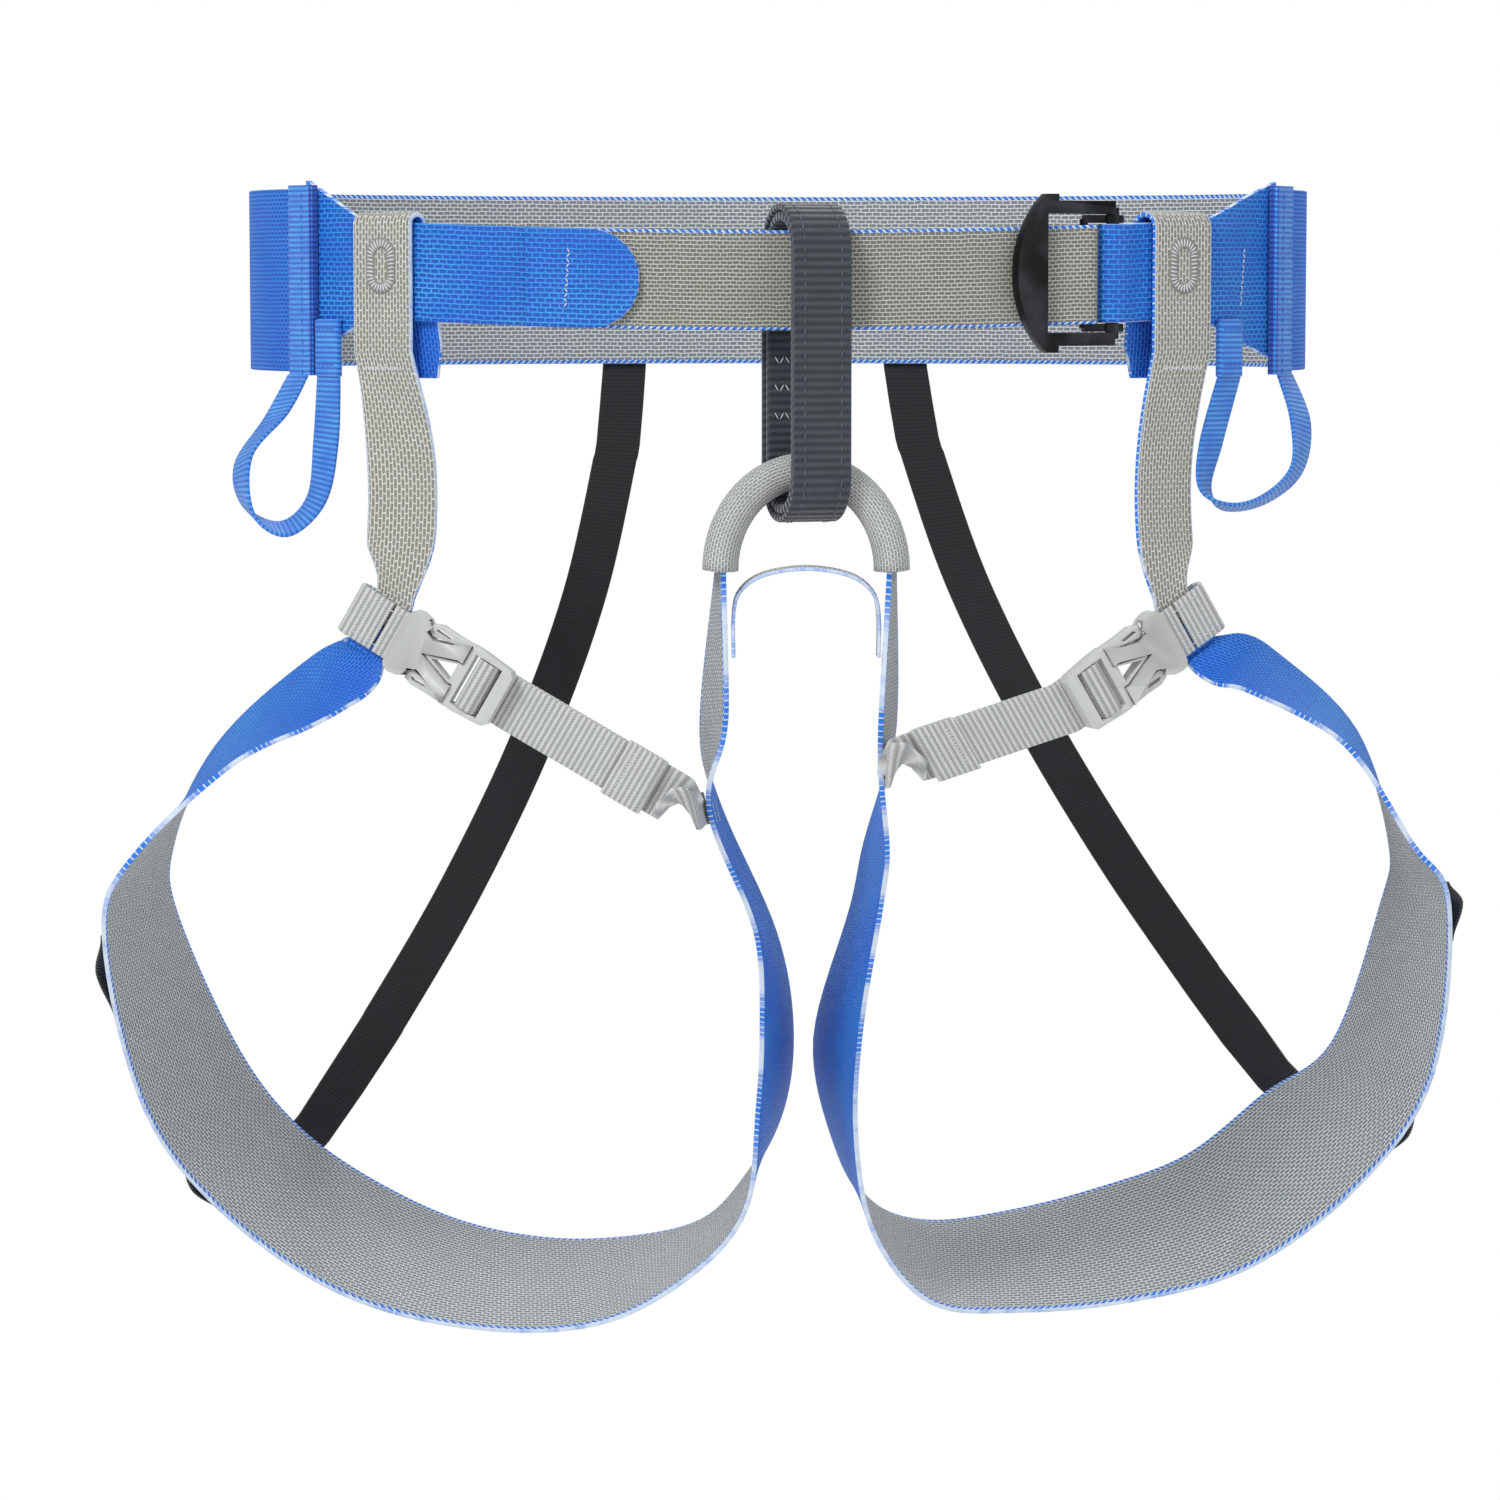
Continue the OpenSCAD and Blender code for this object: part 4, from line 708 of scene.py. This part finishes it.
for s, side in SIDES:
    core, half = RISER_CORE[s]
    r = half + RISER_GAP + RISER_T / 2
    angle = math.asin(s * RISER_X / RX)
    tangent = belt_tangent(angle)
    top = RISER_TOP - half + 0.4
    foot = wrap_spot(s, WRAP_HALF + 1)
    into = CLIP_DIR[s] * -s
    rows = []
    for z in (-30, -20, -10, 0, 10):
        lean = RISER_LEAN[s] * (top - z) / (top + 30)
        width = RISER_W * (0.72 if z == -30 else 1)
        rows.append(row(belt_at(angle, core - r, z) - tangent * s * lean, tangent, width))
    for k in turn(180, 0, -15):
        rows.append(row(belt_at(angle, core + r * math.cos(k), top + r * math.sin(k)), tangent, RISER_W))
    for z in (10, 2, -6, -14, -22):
        rows.append(row(belt_at(angle, core + r, z), tangent, RISER_W))
    start = belt_at(angle, core + r, -22)
    sight = Vector((math.cos(RISER_TURN[s]), math.sin(RISER_TURN[s]), 0))
    for k in range(1, 25):
        f = k / 24
        across = mix(mix(tangent, sight, ease(2 * f)), into, ease(4 * f - 3))
        rows.append(row(mix(start, foot, f) - Vector((s * RISER_BOW * math.sin(math.pi * f), 0, 0)), across,
                        mix(RISER_W, PINCH_W, ease(4 * f - 3))))
    rows.append(row(wrap_spot(s, CLEAR), into, PINCH_W))
    riser = webbing("riser_strap_" + side, rows, RISER_T, (riser_grey, blue_webbing, edge_cord),
                    wide_segments=8)
    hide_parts("riser_" + side)
    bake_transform(riser)
    face = belt_out(angle)
    # the oval: two straight sides joined by half circles, with a stitch across it every 1.1 mm
    beads = []
    centre = belt_at(angle, core + r + RISER_T / 2 + 0.2, TACK_Z)
    spots = [(TACK_R * math.sin(k), TACK_RISE + TACK_R * math.cos(k), math.sin(k), math.cos(k))
             for k in turn(-75, 75, 15)]
    spots += [(TACK_R, mix(TACK_RISE, -TACK_RISE, k / 5), 1, 0) for k in range(6)]
    spots += [(-x, -z, -dx, -dz) for x, z, dx, dz in spots]
    for k, (x, z, dx, dz) in enumerate(spots):
        at = centre + tangent * x + Vector((0, 0, z))
        beads.append((at, tangent * dx + Vector((0, 0, dz + 0.12)), face, 3.1 + 0.4 * math.sin(7 * k)))
    low = belt_at(angle, core + r + RISER_T / 2 + 0.15, -27) - Vector((s * 0.2, 0, 0))
    beads += zigzag(low, tangent, face, 15, 1.6, 0.9)
    stitches("riser_tack_" + side, beads, lilac_thread, "waistbelt", ("riser_stitching_" + side,), thick=0.62)
    # the ring of painted shade under the oval tack
    tack_shade_ring = racetrack_plate("riser_tack_bed_" + side, centre - face * 0.16, tangent, TACK_R, TACK_RISE, 1.7)
    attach(tack_shade_ring, "waistbelt")


# ---- Belay loop --------------------------------------------------------------------------
# Webbing laid in a closed ring round the waist strap and the bridge: an inner ply that bears
# the load and a ribbed wear cover over it, sewn through along both edges.

BRIDGE_X, BRIDGE_Y = 8, -RY - LAYER / 2
BELAY_H, BELAY_W, BELAY_GAP, BELAY_T, COVER_T = 96, 18.5, 18.5, 3, 2
BELAY_R, BELAY_TURN = BELAY_GAP / 2, math.radians(20)
STRAP_CORNER = BELAY_W / 2 * math.sin(BELAY_TURN) + (LAYER + STRAP_T) / 2 * math.cos(BELAY_TURN)
BELAY_TOP = STRAP_W / 2 + BELAY_R - math.sqrt(BELAY_R ** 2 - STRAP_CORNER ** 2) + 1.2
BELAY_BOTTOM = BELAY_TOP + 2 * (BELAY_T + COVER_T + CLEAR) - BELAY_H

# nylon webbing, dyed charcoal: deep ribs 2.4 mm apart that catch the light
charcoal = ribbed("charcoal ribbed webbing", "#353D47", "#20262E", 2.4, "#434C57", relief=0.9, rough=0.7)
dark_thread = dyed("charcoal polyester thread", "#4C5560")
belay_face = Vector((-math.sin(BELAY_TURN), math.cos(BELAY_TURN), 0))      # along the ring's depth
belay_side = Vector((math.cos(BELAY_TURN), math.sin(BELAY_TURN), 0))       # along its width
straight = BELAY_TOP - BELAY_BOTTOM - BELAY_GAP
belay_mid = Vector((BRIDGE_X, BRIDGE_Y, (BELAY_TOP + BELAY_BOTTOM) / 2))


def racetrack(radius):
    """Depth and height of each point of the ring, with its outward direction, round to the start."""
    points = []
    for s in (1, -1):
        for a in turn(0, 171, 9):
            d, z = s * math.cos(a), s * math.sin(a)
            points.append((radius * d, s * straight / 2 + radius * z, (d, z)))
        for k in range(12):
            points.append((-s * radius, s * (straight / 2 - straight * k / 12), (-s, 0)))
    return points + [(radius, straight / 2, (1, 0))]


PLIES = (("belay_core", BELAY_R + BELAY_T / 2, BELAY_T, BELAY_W - 1, "belay_loop_core"),
         ("belay_cover", BELAY_R + BELAY_T + CLEAR + COVER_T / 2, COVER_T, BELAY_W, "belay_loop_cover"))
for name, radius, thick, width, cad in PLIES:
    rows = [row(belay_mid + belay_face * d + Vector((0, 0, z)), belay_side, width) for d, z, out in racetrack(radius)]
    ply = webbing(name, rows, thick, (charcoal,), wide_segments=8)
    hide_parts(cad)
    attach(ply, "belay_loop")

beads = []
seam_r = BELAY_R + BELAY_T + CLEAR + COVER_T + 0.1
points = racetrack(seam_r)
for over in (-BELAY_W / 2 + 3.4, BELAY_W / 2 - 3.4):
    line = [belay_mid + belay_face * d + belay_side * over + Vector((0, 0, z)) for d, z, out in points]
    faces = [belay_face * out[0] + Vector((0, 0, out[1])) for d, z, out in points]
    beads += line_of_stitches(line, faces, 2.6, 0.9)
stitches("belay_seams", beads, dark_thread, "belay_loop", thick=0.5)
beads = []
for z in (-24, -32.5, -41):
    middle = Vector((BRIDGE_X, BRIDGE_Y, z))
    beads += zigzag(middle + belay_face * (seam_r + 0.05), belay_side, belay_face, 13, 2.2, 1.6)
    beads += zigzag(middle + belay_face * (BELAY_R - 0.15) - belay_side, belay_side, -belay_face, 12, 2.2, 1.6)
stitches("belay_tacks", beads, pale_thread, "belay_loop", ("belay_loop_stitching",), thick=0.4)


# ---- Tie-in bridge -----------------------------------------------------------------------
# The leg loops meet in an arch of webbing inside a grey woven sleeve, which wears first where
# the rope runs. A thin strap below it keeps the two leg loops together.

BRIDGE_W, BRIDGE_H, SHEATH_W, SHEATH_D, SHEATH_WALL = 52, 30, 11, 10, 1.2
SHEATH_ROUND = 3.4       # centimetres of weave round the sleeve
LEG_END_W = 20
ARCH_REACH = BELAY_W / 2 + SHEATH_D / 2 * math.sin(BELAY_TURN)
ARCH_DROP = BRIDGE_H * (1 - math.sin(math.acos(2 * ARCH_REACH / BRIDGE_W)))
FOOT_Z = BELAY_BOTTOM + 1.9 + SHEATH_W / 2 + ARCH_DROP - BRIDGE_H
FRONT_BACK = (0, -1, 0)


def arch(k):
    return Vector((BRIDGE_X + BRIDGE_W / 2 * math.cos(k), BRIDGE_Y, FOOT_Z + BRIDGE_H * math.sin(k)))


def tube(name, rows, thick, materials, around=24):
    """A sleeve of oval section along the rows: a row's width is its depth, thick its other size."""
    n = len(rows) - 1
    bm = bmesh.new()
    bmesh.ops.create_grid(bm, x_segments=n, y_segments=around, size=0.5)
    frames = stations(rows)
    weave = bm.loops.layers.uv.new("weave")
    cells = {v: (round((v.co.x + 0.5) * n), v.co.y + 0.5) for v in bm.verts}
    for f in bm.faces:
        for loop in f.loops:
            i, share = cells[loop.vert]
            loop[weave].uv = (frames[i][3] / 10, share * SHEATH_ROUND)
    for v, (i, share) in cells.items():
        along, across, face, run = frames[i]
        middle, _, width = rows[i]
        a = share * 2 * math.pi
        v.co = middle + across * (width / 2) * math.cos(a) + face * (thick / 2) * math.sin(a)
    bmesh.ops.remove_doubles(bm, verts=bm.verts, dist=0.001)
    bmesh.ops.recalc_face_normals(bm, faces=bm.faces)
    piece = place_piece(name, bm, materials)
    wall = piece.modifiers.new("wall", "SOLIDIFY")
    wall.thickness = SHEATH_WALL * MM
    wall.offset = -1
    return piece


# a woven polyester sleeve, finer and drier than the webbing
sheath_grey = woven("grey sleeve weave", "#D0D2CE", "#8E9394", 1.7, 1.0, "#D9DBD7", rough=0.8)
foot_d = LEG_END_W + 2 * SHEATH_WALL + 3
rows = [row(arch(k), FRONT_BACK, mix(foot_d, SHEATH_D, ease(math.sin(k) * 1.3))) for k in turn(0, 180, 6)]
sheath = tube("bridge_sleeve", rows, SHEATH_W, (sheath_grey,))
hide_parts("bridge_sheath")
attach(sheath, "leg_loops")
core_w = SHEATH_D - 2 * SHEATH_WALL - 2
rows = [row(arch(k), FRONT_BACK, core_w) for k in turn(12, 168, 12)]
core = webbing("bridge_inner_strap", rows, core_w * 0.7, (grey_strap,))
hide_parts("bridge_core")
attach(core, "leg_loops")

out = BRIDGE_W / 2 - 4
top = FOOT_Z - 1.5
points = ((-out, top - 25), (-out, top - 12), (-out + 2, top - 5), (-out + 9, top), (0, top + 2), (out - 9, top),
          (out - 2, top - 5), (out, top - 12), (out, top - 25))
rows = smooth([row((BRIDGE_X + x, BRIDGE_Y + 2, z), FRONT_BACK, 12) for x, z in points], 4)
keeper_strap = webbing("bridge_keeper_strap", rows, 1.2, (riser_grey, riser_grey, edge_cord))
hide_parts("bridge_strap")
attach(keeper_strap, "leg_loops")


# ---- Leg loops ---------------------------------------------------------------------------
# One wide band of the same webbing as the belt runs round each thigh, from the wrap to the
# bridge: blue outside, grey mesh inside, a cord along each edge.

LEG_W, LEG_D, LEG_H = 200, 150, 230
LEG_BAND_W, LEG_BAND_T = 58, 1.6
# shares of the loop's width, depth and height, the direction across the band, and its fullness
LEG_SHAPE = {
    RIGHT: (
        (0, 0, 0, 0.84, -0.2, -0.5, -1),
        (-0.05, 0.03, -0.03, 0.5, -0.68, -0.6, 0.1),
        (-0.14, 0.07, -0.07, 0.27, -0.86, -0.45, 0.35),
        (-0.32, 0.19, -0.17, 0.25, -1, 0, 0.7),
        (-0.48, 0.32, -0.32, -0.1, -1, 0.05, 0.95),
        (-0.54, 0.43, -0.44, -0.3, -1, 0, 1),
        (-0.51, 0.68, -0.69, -0.45, -0.9, -0.2, 1),
        (-0.43, 0.83, -0.85, -0.4, -0.87, -0.3, 1),
        (-0.29, 0.92, -0.97, -0.3, -0.87, -0.4, 1),
        (-0.14, 0.96, -1.03, 0, -0.9, -0.4, 1),
        (0.02, 0.95, -1.04, 0.1, -0.95, -0.3, 1),
        (0.16, 0.89, -0.99, 0, -1, -0.1, 1),
        (0.22, 0.79, -0.90, 0, -1, 0, 1),
        (0.23, 0.67, -0.77, -0.15, -1, 0.15, 0.95),
        (0.21, 0.53, -0.64, -0.2, -1, 0.15, 0.8),
        (0.16, 0.39, -0.50, -0.15, -1, 0.15, 0.6),
        (0.05, 0.19, -0.32, -0.1, -1, 0.1, 0.3),
        (0.02, 0.09, -0.20, 0.3, -0.95, 0.1, 0.15),
        (0, 0, 0, 0.1, -1, 0.1, 0),
    ),
    LEFT: (
        (0, 0, 0, -0.77, -0.35, -0.5, -1),
        (0.07, 0.01, -0.02, -0.5, -0.7, -0.6, 0.1),
        (0.16, 0.06, -0.05, -0.35, -0.9, -0.3, 0.3),
        (0.33, 0.19, -0.15, -0.2, -1, 0, 0.6),
        (0.45, 0.31, -0.31, 0, -1, 0.1, 0.9),
        (0.51, 0.42, -0.41, 0.25, -1, 0.1, 1),
        (0.51, 0.68, -0.66, 0.46, -0.9, -0.05, 1),
        (0.43, 0.82, -0.80, 0.46, -0.8, -0.4, 1),
        (0.31, 0.91, -0.92, 0.28, -0.8, -0.5, 1),
        (0.17, 0.96, -0.98, 0.1, -0.85, -0.5, 1),
        (0.02, 0.95, -1.01, 0, -0.9, -0.4, 1),
        (-0.10, 0.90, -1.01, 0, -1, -0.3, 1),
        (-0.17, 0.81, -0.94, 0, -1, 0, 1),
        (-0.19, 0.70, -0.82, 0.1, -1, 0.2, 1),
        (-0.18, 0.54, -0.66, 0.25, -1, 0.15, 0.95),
        (-0.11, 0.34, -0.46, 0.2, -1, 0.15, 0.6),
        (-0.07, 0.25, -0.37, 0.15, -1, 0.1, 0.45),
        (-0.03, 0.10, -0.21, -0.2, -1, 0, 0.15),
        (0, 0, 0, -0.1, -1, 0, 0),
    ),
}
LEG_STEPS = 4

# the belt's webbing again, with its patches of painted highlight broader
leg_blue = woven("blue leg webbing", "#1C74E2", "#0F4CBE", 2.2, 1.2, "#3FA2F0", light_scale=7,
                 rough=0.55, sheen=0.25)
leg_rows = {}
for s, side in SIDES:
    shape = LEG_SHAPE[s]
    last = len(shape) - 1
    start = wrap_spot(s, -WRAP_HALF - 1)
    end = arch(math.pi if s == RIGHT else 0) + Vector((0, 0, 1))
    route = []
    for i, (x, y, z, ax, ay, az, full) in enumerate(shape):
        middle = mix(start, end, i / last) + Vector((x * LEG_W, y * LEG_D, z * LEG_H))
        route.append(row(middle, (ax, ay, az), PINCH_W if full < 0 else mix(LEG_END_W, LEG_BAND_W, full)))
    leg_rows[s] = [row(wrap_spot(s, -CLEAR), CLIP_DIR[s], PINCH_W)] + smooth(route, LEG_STEPS)
    fine = smooth(leg_rows[s], 2)
    leg = webbing("leg_loop_" + side, fine, LEG_BAND_T, (leg_blue, grey_mesh, edge_cord),
                  turned=s == LEFT, wide_segments=10)
    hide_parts("leg_band_" + side)
    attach(leg, "leg_loops")
leg_frames = {s: stations(leg_rows[s]) for s in leg_rows}


def leg_spot(s, i, over, off):
    """A place on a leg loop: the station, how far across it and how far off its outer face."""
    return leg_rows[s][i][0] + leg_frames[s][i][1] * over - leg_frames[s][i][2] * s * off


# ---- Leg straps --------------------------------------------------------------------------
# A 16 mm strap is sewn inside each leg band near the bridge, runs up to the buckle, round its
# ladder and back, and ends in a fold that can't slip through.

ROOT = {RIGHT: 65, LEFT: 68}
STRAP_UNDER = -CLIP_T / 2 + 1 - CLEAR - LEG_STRAP_T / 2
STRAP_LOWER = STRAP_UNDER - LEG_STRAP_T - PLY_GAP
LADDER_X = (CLIP_LEN * 0.59 + 2 + CLIP_LEN - 4) / 2
TAIL_SHARE, STOP_LEN = 0.58, 13

for s, side in SIDES:
    i = ROOT[s]
    half = leg_rows[s][i][2] / 2
    root = leg_spot(s, i, half * 0.5, -LEG_BAND_T / 2 - CLEAR - LEG_STRAP_T / 2)
    front = leg_spot(s, i, half + 9, -LEG_BAND_T / 2 - 3)
    flat = clip_turn(s, (0, 1, 0))
    back = clip_place(s, (CLIP_LEN + 2, 0, STRAP_LOWER))
    upright = leg_frames[s][i][0] * s
    rows = [row(root, upright, LEG_STRAP_W * 0.8), row(mix(root, front, 0.5), upright, LEG_STRAP_W * 0.8)]
    for k in range(21):
        rows.append(row(mix(front, back, k / 20), mix(upright, flat, ease(k / 3)), LEG_STRAP_W))
    for x, z in ((4, STRAP_LOWER + 0.4), (0, STRAP_LOWER + 1.1), (-2.5, -2.4), (-3, 0), (-2.2, 2.2), (0, 2.9),
                 (2.2, 2.2), (3, 0.2), (3.2, -1.7), (5, STRAP_UNDER - 0.1)):
        rows.append(row(clip_place(s, (LADDER_X + x, 0, z)), flat, LEG_STRAP_W))
    rows.append(row(clip_place(s, (CLIP_LEN + 2, 0, STRAP_UNDER)), flat, LEG_STRAP_W))
    rise = CLIP_UP[s] * (LEG_STRAP_T + PLY_GAP)
    for k in range(1, 7):
        rows.append(row(mix(back, front, k / 6 * TAIL_SHARE) + rise, flat, LEG_STRAP_W))
    leg_strap = webbing("leg_adjuster_" + side, smooth(rows, 2), LEG_STRAP_T, (grey_strap,))
    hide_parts("leg_strap_" + side)
    run = (front - back).normalized()
    tail_end = mix(back, front, TAIL_SHARE) + rise
    fold = [(0, 0.7), (STOP_LEN * 0.5, 0.7), (STOP_LEN - 1, 0.7), (STOP_LEN - 0.2, 0.5), (STOP_LEN, 0),
            (STOP_LEN - 0.2, -0.5), (STOP_LEN - 1, -0.7), (STOP_LEN * 0.5, -0.7), (0, -0.7)]
    rows = [row(tail_end + run * (CLEAR + x) + CLIP_UP[s] * (0.6 + z), flat, LEG_STRAP_W + 2) for x, z in fold]
    stop = webbing("leg_strap_fold_" + side, rows, LEG_STRAP_T * 0.9, (grey_strap,))
    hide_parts("leg_strap_stop_" + side)
    beads = []
    for x in (3.5, 9.5):
        at = tail_end + run * (CLEAR + x) + CLIP_UP[s] * (0.6 + 0.7 + LEG_STRAP_T / 2)
        beads += zigzag(at, flat, CLIP_UP[s], LEG_STRAP_W - 3, 1.2, 1.1)
    stitches("leg_strap_tack_" + side, beads, pale_thread, "leg_loops", thick=0.35)
    for piece in (leg_strap, stop):
        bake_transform(piece)
    beads = []
    face = -leg_frames[s][i][2] * s
    for over in (0.15, 0.75):
        at = leg_spot(s, i, half * over, LEG_BAND_T / 2 + 0.15)
        beads += zigzag(at, leg_frames[s][i][0], face, 12, 1.4, 1.3)
    stitches("leg_strap_root_tack_" + side, beads, pale_thread, "leg_loops", thick=0.4)


# ---- Gear loops --------------------------------------------------------------------------
# The hem tape runs on below the belt as a soft loop, and its other end is sewn under a short
# doubled tab at the lower edge of the side panel.

# the loop's points below the belt, each with the direction across the tape
GEAR = {
    RIGHT: ((-157, -55, -42, 0.8, -0.6, 0.2), (-167, -60, -56, 0.6, -0.75, 0.3), (-165, -65, -71, 0.4, -0.9, -0.2),
            (-154, -66, -77, 0.3, -0.9, -0.4), (-144, -64, -68, 0.6, -0.8, -0.2), (-141, -62, -50, 0.8, -0.6, -0.1)),
    LEFT: ((164, -46, -44, -0.7, -0.7, 0.2), (162, -54, -59, -0.4, -0.9, 0.3), (151, -62, -68, -0.1, -0.95, 0.3),
           (139, -67, -70, 0.1, -0.95, 0.2), (132, -70, -64, -0.4, -0.9, 0), (134, -68, -50, -0.75, -0.65, 0)),
}
TAB_X = {RIGHT: -138, LEFT: 136}
# a paler copy of the hem's tape for where it hangs free: painted highlight
painted_highlight_tape = ribbed("blue ribbed tape in painted highlight", "#2F83E2", "#1A5CC4", TAPE_RIB, "#58B0EF")
for s, side in SIDES:
    tab_angle = math.asin(TAB_X[s] / RX)
    tab_out = (panel_out(TAB_X[s]) if s == LEFT else 0) + STRAP_T / 2 + CLEAR + TAPE_T
    across = belt_tangent(TAPE_ANGLE[s]) * -s
    rows = [row(belt_at(TAPE_ANGLE[s], TAPE_OUT, -BAND_H / 2 - 0.9), across, TAPE_W)]
    rows += [row(p[:3], p[3:], TAPE_W) for p in GEAR[s]]
    rows.append(row(belt_at(tab_angle, tab_out, -29.9), belt_tangent(tab_angle) * -s, TAPE_W))
    gear = webbing("gear_tape_" + side, smooth(rows, 8), TAPE_T, (painted_highlight_tape,))
    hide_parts("gear_loop_" + side)
    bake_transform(gear)
    rows = [row(belt_at(tab_angle, tab_out, mix(-30, -12, k / 12)), -belt_tangent(tab_angle), TAPE_W + 0.4)
            for k in range(13)]
    tab = webbing("gear_tape_tab_" + side, rows, 2 * TAPE_T, (blue_tape,))
    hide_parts("gear_tab_" + side)
    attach(tab, "waistbelt")
    face = belt_out(tab_angle)
    beads = []
    for z in (-15, -26):
        at = belt_at(tab_angle, tab_out + TAPE_T + 0.1, z)
        beads += zigzag(at, belt_tangent(tab_angle), face, 8, 1.2, 1.0)
    stitches("gear_tab_tack_" + side, beads, blue_thread, "waistbelt")


# ---- Rear elastics -----------------------------------------------------------------------
# Flat black elastic, sewn to the outside of the belt at the back and to the top edge of each
# leg band, which it holds up.

ELASTIC_W, ELASTIC_T = 15, 1.5
ELASTIC = {RIGHT: (51, 1.7, 29), LEFT: (43.5, 1.5, 28)}    # place, bend and station of each
# woven elastic: matt black, with fine ribs where the rubber draws the threads together
black_elastic = ribbed("black woven elastic", "#121317", "#06070A", 1.3, "#1B1C21", relief=0.5, rough=0.8)
for s, side in SIDES:
    x, late, i = ELASTIC[s]
    angle = s * (math.pi - math.asin(x / RX))
    out = BAND_OUT + (BAND_T + ELASTIC_T) / 2 + CLEAR
    upper = [belt_at(angle, out, z) for z in (-6, -13, -20, -25, -30)]
    half = leg_rows[s][i][2] / 2
    lower = [leg_spot(s, i, u, (LEG_BAND_T + ELASTIC_T) / 2 + 1) for u in (-half - 8, -half + 4, -half + 16)]
    drop = lower[0] - upper[-1]
    route = []
    for k in (0.1, 0.3, 0.5, 0.7, 0.88):
        at = upper[-1] + Vector((drop.x * k ** late, drop.y * k + 5 * math.sin(math.pi * k), drop.z * k))
        lean = mix(Vector((1, 0, 0)), Vector((0.85, 0.2, s * 0.5)).normalized(), k)
        route.append(row(at, lean, ELASTIC_W))
    rows = [row(p, -belt_tangent(angle), ELASTIC_W) for p in upper] + smooth(route, 6)
    rows += [row(p, leg_frames[s][i][0] * -s, ELASTIC_W) for p in lower]
    rows = smooth(rows, 2)
    elastic = webbing("elastic_" + side, rows, ELASTIC_T, (black_elastic,))
    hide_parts("rear_elastic_" + side)
    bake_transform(elastic)


# ---- Ice screw keepers -------------------------------------------------------------------
# Two short bands of the same elastic stand off the outer face of each leg band.

KEEPER_W, KEEPER_RISE, KEEPER_IN = 18, 3.5, 3
KEEPERS = {RIGHT: (22, 28), LEFT: (21, 27)}
for s, side in SIDES:
    for number, i in enumerate(KEEPERS[s]):
        lift = (LEG_BAND_T + ELASTIC_T) / 2 + PLY_GAP
        rows = []
        for k in [j / 8 for j in range(-8, 9)]:
            rise = KEEPER_RISE * math.cos(math.pi / 2 * k) ** 2
            j = i + (1 if k > 0 else -1)
            spots = [leg_spot(s, m, leg_rows[s][m][2] / 2 - KEEPER_W / 2 - KEEPER_IN, lift + rise) for m in (i, j)]
            across = mix(leg_frames[s][i][1], leg_frames[s][j][1], abs(k))
            rows.append(row(mix(spots[0], spots[1], abs(k)), across, KEEPER_W))
        keeper = webbing("keeper_%s_%d" % (side, number + 1), rows, ELASTIC_T, (black_elastic,))
        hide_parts("ice_screw_keepers_" + side)
        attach(keeper, "leg_loops")
